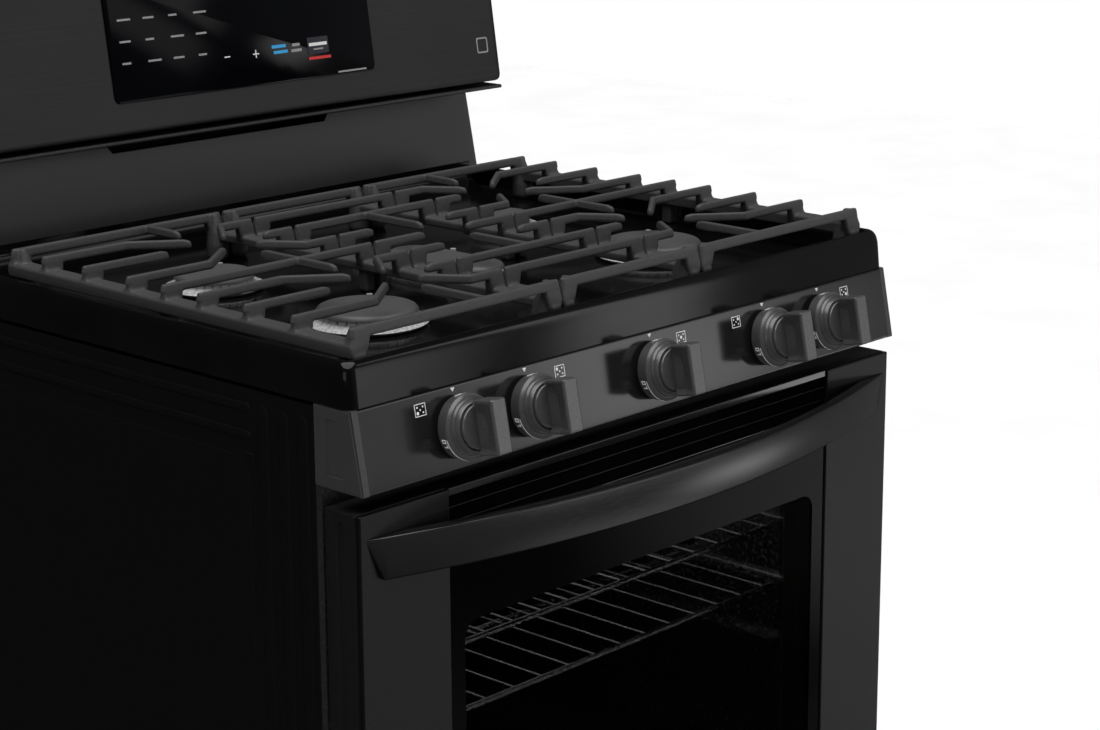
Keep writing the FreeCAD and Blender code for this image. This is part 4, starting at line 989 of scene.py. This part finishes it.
def burner_icon(name, x):
    """A small outlined cooktop with a dot for each burner and this knob's burner filled."""
    pieces = []
    wide, tall, line = 13.0, 11.0, 0.6
    for a0, a1, b0, b1 in ((0, wide, 0, line), (0, wide, tall - line, tall), (0, line, 0, tall),
                           (wide - line, wide, 0, tall)):
        pieces.append(face_patch("bar", x, ((a0, b0), (a1, b0), (a1, b1), (a0, b1))))
    for knob_name, place in zip(KNOBS, ((3.2, 3.0), (3.2, 8.0), (6.5, 5.5), (9.8, 8.0), (9.8, 3.0))):
        size = 1.5 if knob_name == name else 0.8
        pieces.append(face_patch("dot", x, [ray(*place, size, math.pi * k / 6) for k in range(12)]))
    return together("icon_" + name, pieces)


POINTER = ((-2.6, 34.4), (2.6, 34.4), (0, 30.9))
ICON_ACROSS = {"left_front": -47.0, "right_rear": -49.0}
ICON_UP = 17.5
for name in KNOBS:
    low, high = span("knob_" + name)
    x = (low[0] + high[0]) / 2
    dress(reshade(knob(name, x), 20.0), "turn_" + name, "knob", "knob_metal", "knob_" + name)
    dress(knob_marks(name, x), "turn_" + name, "glowing_white_ink", "knob_metal")
    dress(face_patch("pointer_" + name, x, POINTER, 0.3), "cabinet", "glowing_white_ink", "panel_steel")
    icon = burner_icon(name, x + ICON_ACROSS.get(name, 38.0))
    for vertex in icon.data.vertices:
        vertex.co += FACE_UP * ICON_UP * MM
    dress(icon, "cabinet", "glowing_white_ink", "panel_steel")


# ------------------------------------------------------------------ the rest keep their CAD shape
KEPT = {
    "zinc": ("back_panel", "base_pan", "door_hinges", "drawer_box", "drawer_rails", "gas_manifold"),
    "rubber": ("levelling_feet",), "frame_enamel": ("front_frame",),
    "oven_enamel": ("oven_cavity", "oven_floor"), "wool": ("oven_insulation",),
    "alloy": ("bake_burner", "broil_burner", "burner_tubes"),
    "chrome": ("rack_guides", "oven_rack_lower", "oven_rack_upper"), "lamp_glass": ("oven_lamp",),
    "gasket": ("door_gasket",), "brass": ("gas_valves", "gas_regulator"), "head_wall": ("igniters",),
    "board": ("control_board",), "screw": ("cover_screws", *("valve_stem_" + name for name in KNOBS)),
}
for finish, kept_nodes in KEPT.items():
    for node in kept_nodes:
        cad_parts[node].data.materials.clear()
        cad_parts[node].data.materials.append(FINISH[finish])


# ------------------------------------------------------------------ camera
camera_data = bpy.data.cameras.new("camera")
camera = bpy.data.objects.new("camera", camera_data)
bpy.context.scene.collection.objects.link(camera)
bpy.context.scene.camera = camera
camera.location = (-1.7063, -1.7666, 1.4341)
camera.rotation_euler = (math.radians(76.9), 0, math.radians(-48.1))
camera_data.sensor_width = 36.0
camera_data.lens = 80.64
camera_data.shift_x = -0.04545
camera_data.shift_y = -0.0591


# ------------------------------------------------------------------ light and floor
def soft_light(name, at, toward, size, watts):
    """A rectangular lamp that faces a point."""
    data = bpy.data.lights.new(name, "AREA")
    data.shape = "RECTANGLE"
    data.size, data.size_y = size
    data.energy = watts
    item = put(name, data)
    item.location = at
    item.rotation_euler = (Vector(toward) - Vector(at)).to_track_quat("-Z", "Y").to_euler()


sun_data = bpy.data.lights.new("sky", "SUN")
sun_data.energy = 3.6
sun_data.angle = math.radians(70)
sky = put("sky", sun_data)
sky.rotation_euler = (math.radians(8), math.radians(-6), 0)
soft_light("left_fill", (-3.6, -1.6, 1.6), (-0.3, 0, 0.8), (1.4, 1.8), 9)
soft_light("oven_glow", (0, -0.02, 0.755), (0, 0, 0.4), (0.4, 0.3), 0.35)


def combined(nodes, link, kind, operation, *sources):
    """A maths node of a kind on its sources, which are sockets to link or plain values to set."""
    item = nodes.new(kind)
    item.operation = operation
    for socket, source in zip(item.inputs, sources):
        if isinstance(source, bpy.types.NodeSocket):
            link(source, socket)
        else:
            socket.default_value = source
    return item


def lobe(nodes, link, turn, half_turn, low_edge, low_full, high_full, high_edge, strength):
    """A soft patch of sky round a turn in degrees, which also fades with the height of the direction."""
    coords = nodes.new("ShaderNodeTexCoord").outputs["Generated"]
    vector_kind = "ShaderNodeVectorMath"
    flat = combined(nodes, link, vector_kind, "MULTIPLY", coords, (1, 1, 0))
    unit = combined(nodes, link, vector_kind, "NORMALIZE", flat.outputs["Vector"])
    toward = (*ray(0, 0, 1, math.radians(turn)), 0)
    facing = combined(nodes, link, vector_kind, "DOT_PRODUCT", unit.outputs["Vector"], toward)
    height = nodes.new("ShaderNodeSeparateXYZ")
    link(coords, height.inputs[0])
    level = strength
    for source, start, stop in ((facing.outputs["Value"], math.cos(math.radians(half_turn)), 1.0),
                                (height.outputs["Z"], low_edge, low_full),
                                (height.outputs["Z"], high_edge, high_full)):
        step = fill(nodes.new("ShaderNodeMapRange"), From_Min=start, From_Max=stop)
        step.interpolation_type = "SMOOTHSTEP"
        link(source, step.inputs["Value"])
        product = combined(nodes, link, "ShaderNodeMath", "MULTIPLY", step.outputs["Result"], level)
        level = product.outputs["Value"]
    return level


# Each patch: turn, half turn, low edge, full from, full to, high edge, strength.
PATCHES = ((-41, 75, -0.7, -0.3, 0.4, 0.9, 0.22), (-43, 5, -0.18, -0.10, 0.5, 0.8, 2.7),
           (-33.5, 10, -0.37, -0.31, -0.27, -0.22, 5.0), (-48, 20, -0.65, -0.50, -0.42, -0.33, 1.2),
           (-60, 11, -0.20, -0.10, 0.3, 0.5, 2.2))
AROUND = 0.03


def studio():
    """White behind the object and dim around it, with soft patches of light ahead of it to the right."""
    world = bpy.data.worlds.new("studio")
    world.use_nodes = True
    nodes = world.node_tree.nodes
    link = world.node_tree.links.new
    level = AROUND
    for patch in PATCHES:
        total = combined(nodes, link, "ShaderNodeMath", "ADD", lobe(nodes, link, *patch), level)
        level = total.outputs["Value"]
    around = nodes.new("ShaderNodeBackground")
    link(level, around.inputs["Strength"])
    seen = fill(nodes["Background"], Color=(1, 1, 1, 1))
    choose = nodes.new("ShaderNodeMixShader")
    rays = nodes.new("ShaderNodeLightPath")
    link(rays.outputs["Is Camera Ray"], choose.inputs["Fac"])
    link(around.outputs["Background"], choose.inputs[1])
    link(seen.outputs["Background"], choose.inputs[2])
    link(choose.outputs["Shader"], nodes["World Output"].inputs["Surface"])
    bpy.context.scene.world = world


studio()

material, nodes, link, shader = new_material("floor")
grain = object_noise(nodes, link, 3.0)
link(ramp(nodes, link, grain, 0.86, 0.90), shader.inputs["Base Color"])
fill(shader, Roughness=0.7)
floor = brick("floor", -6000, 6000, -6000, 6000, -20, 0)
floor.data.materials.append(material)
floor.visible_glossy = False

bpy.context.scene.view_settings.view_transform = "Standard"

bpy.context.view_layer.update()
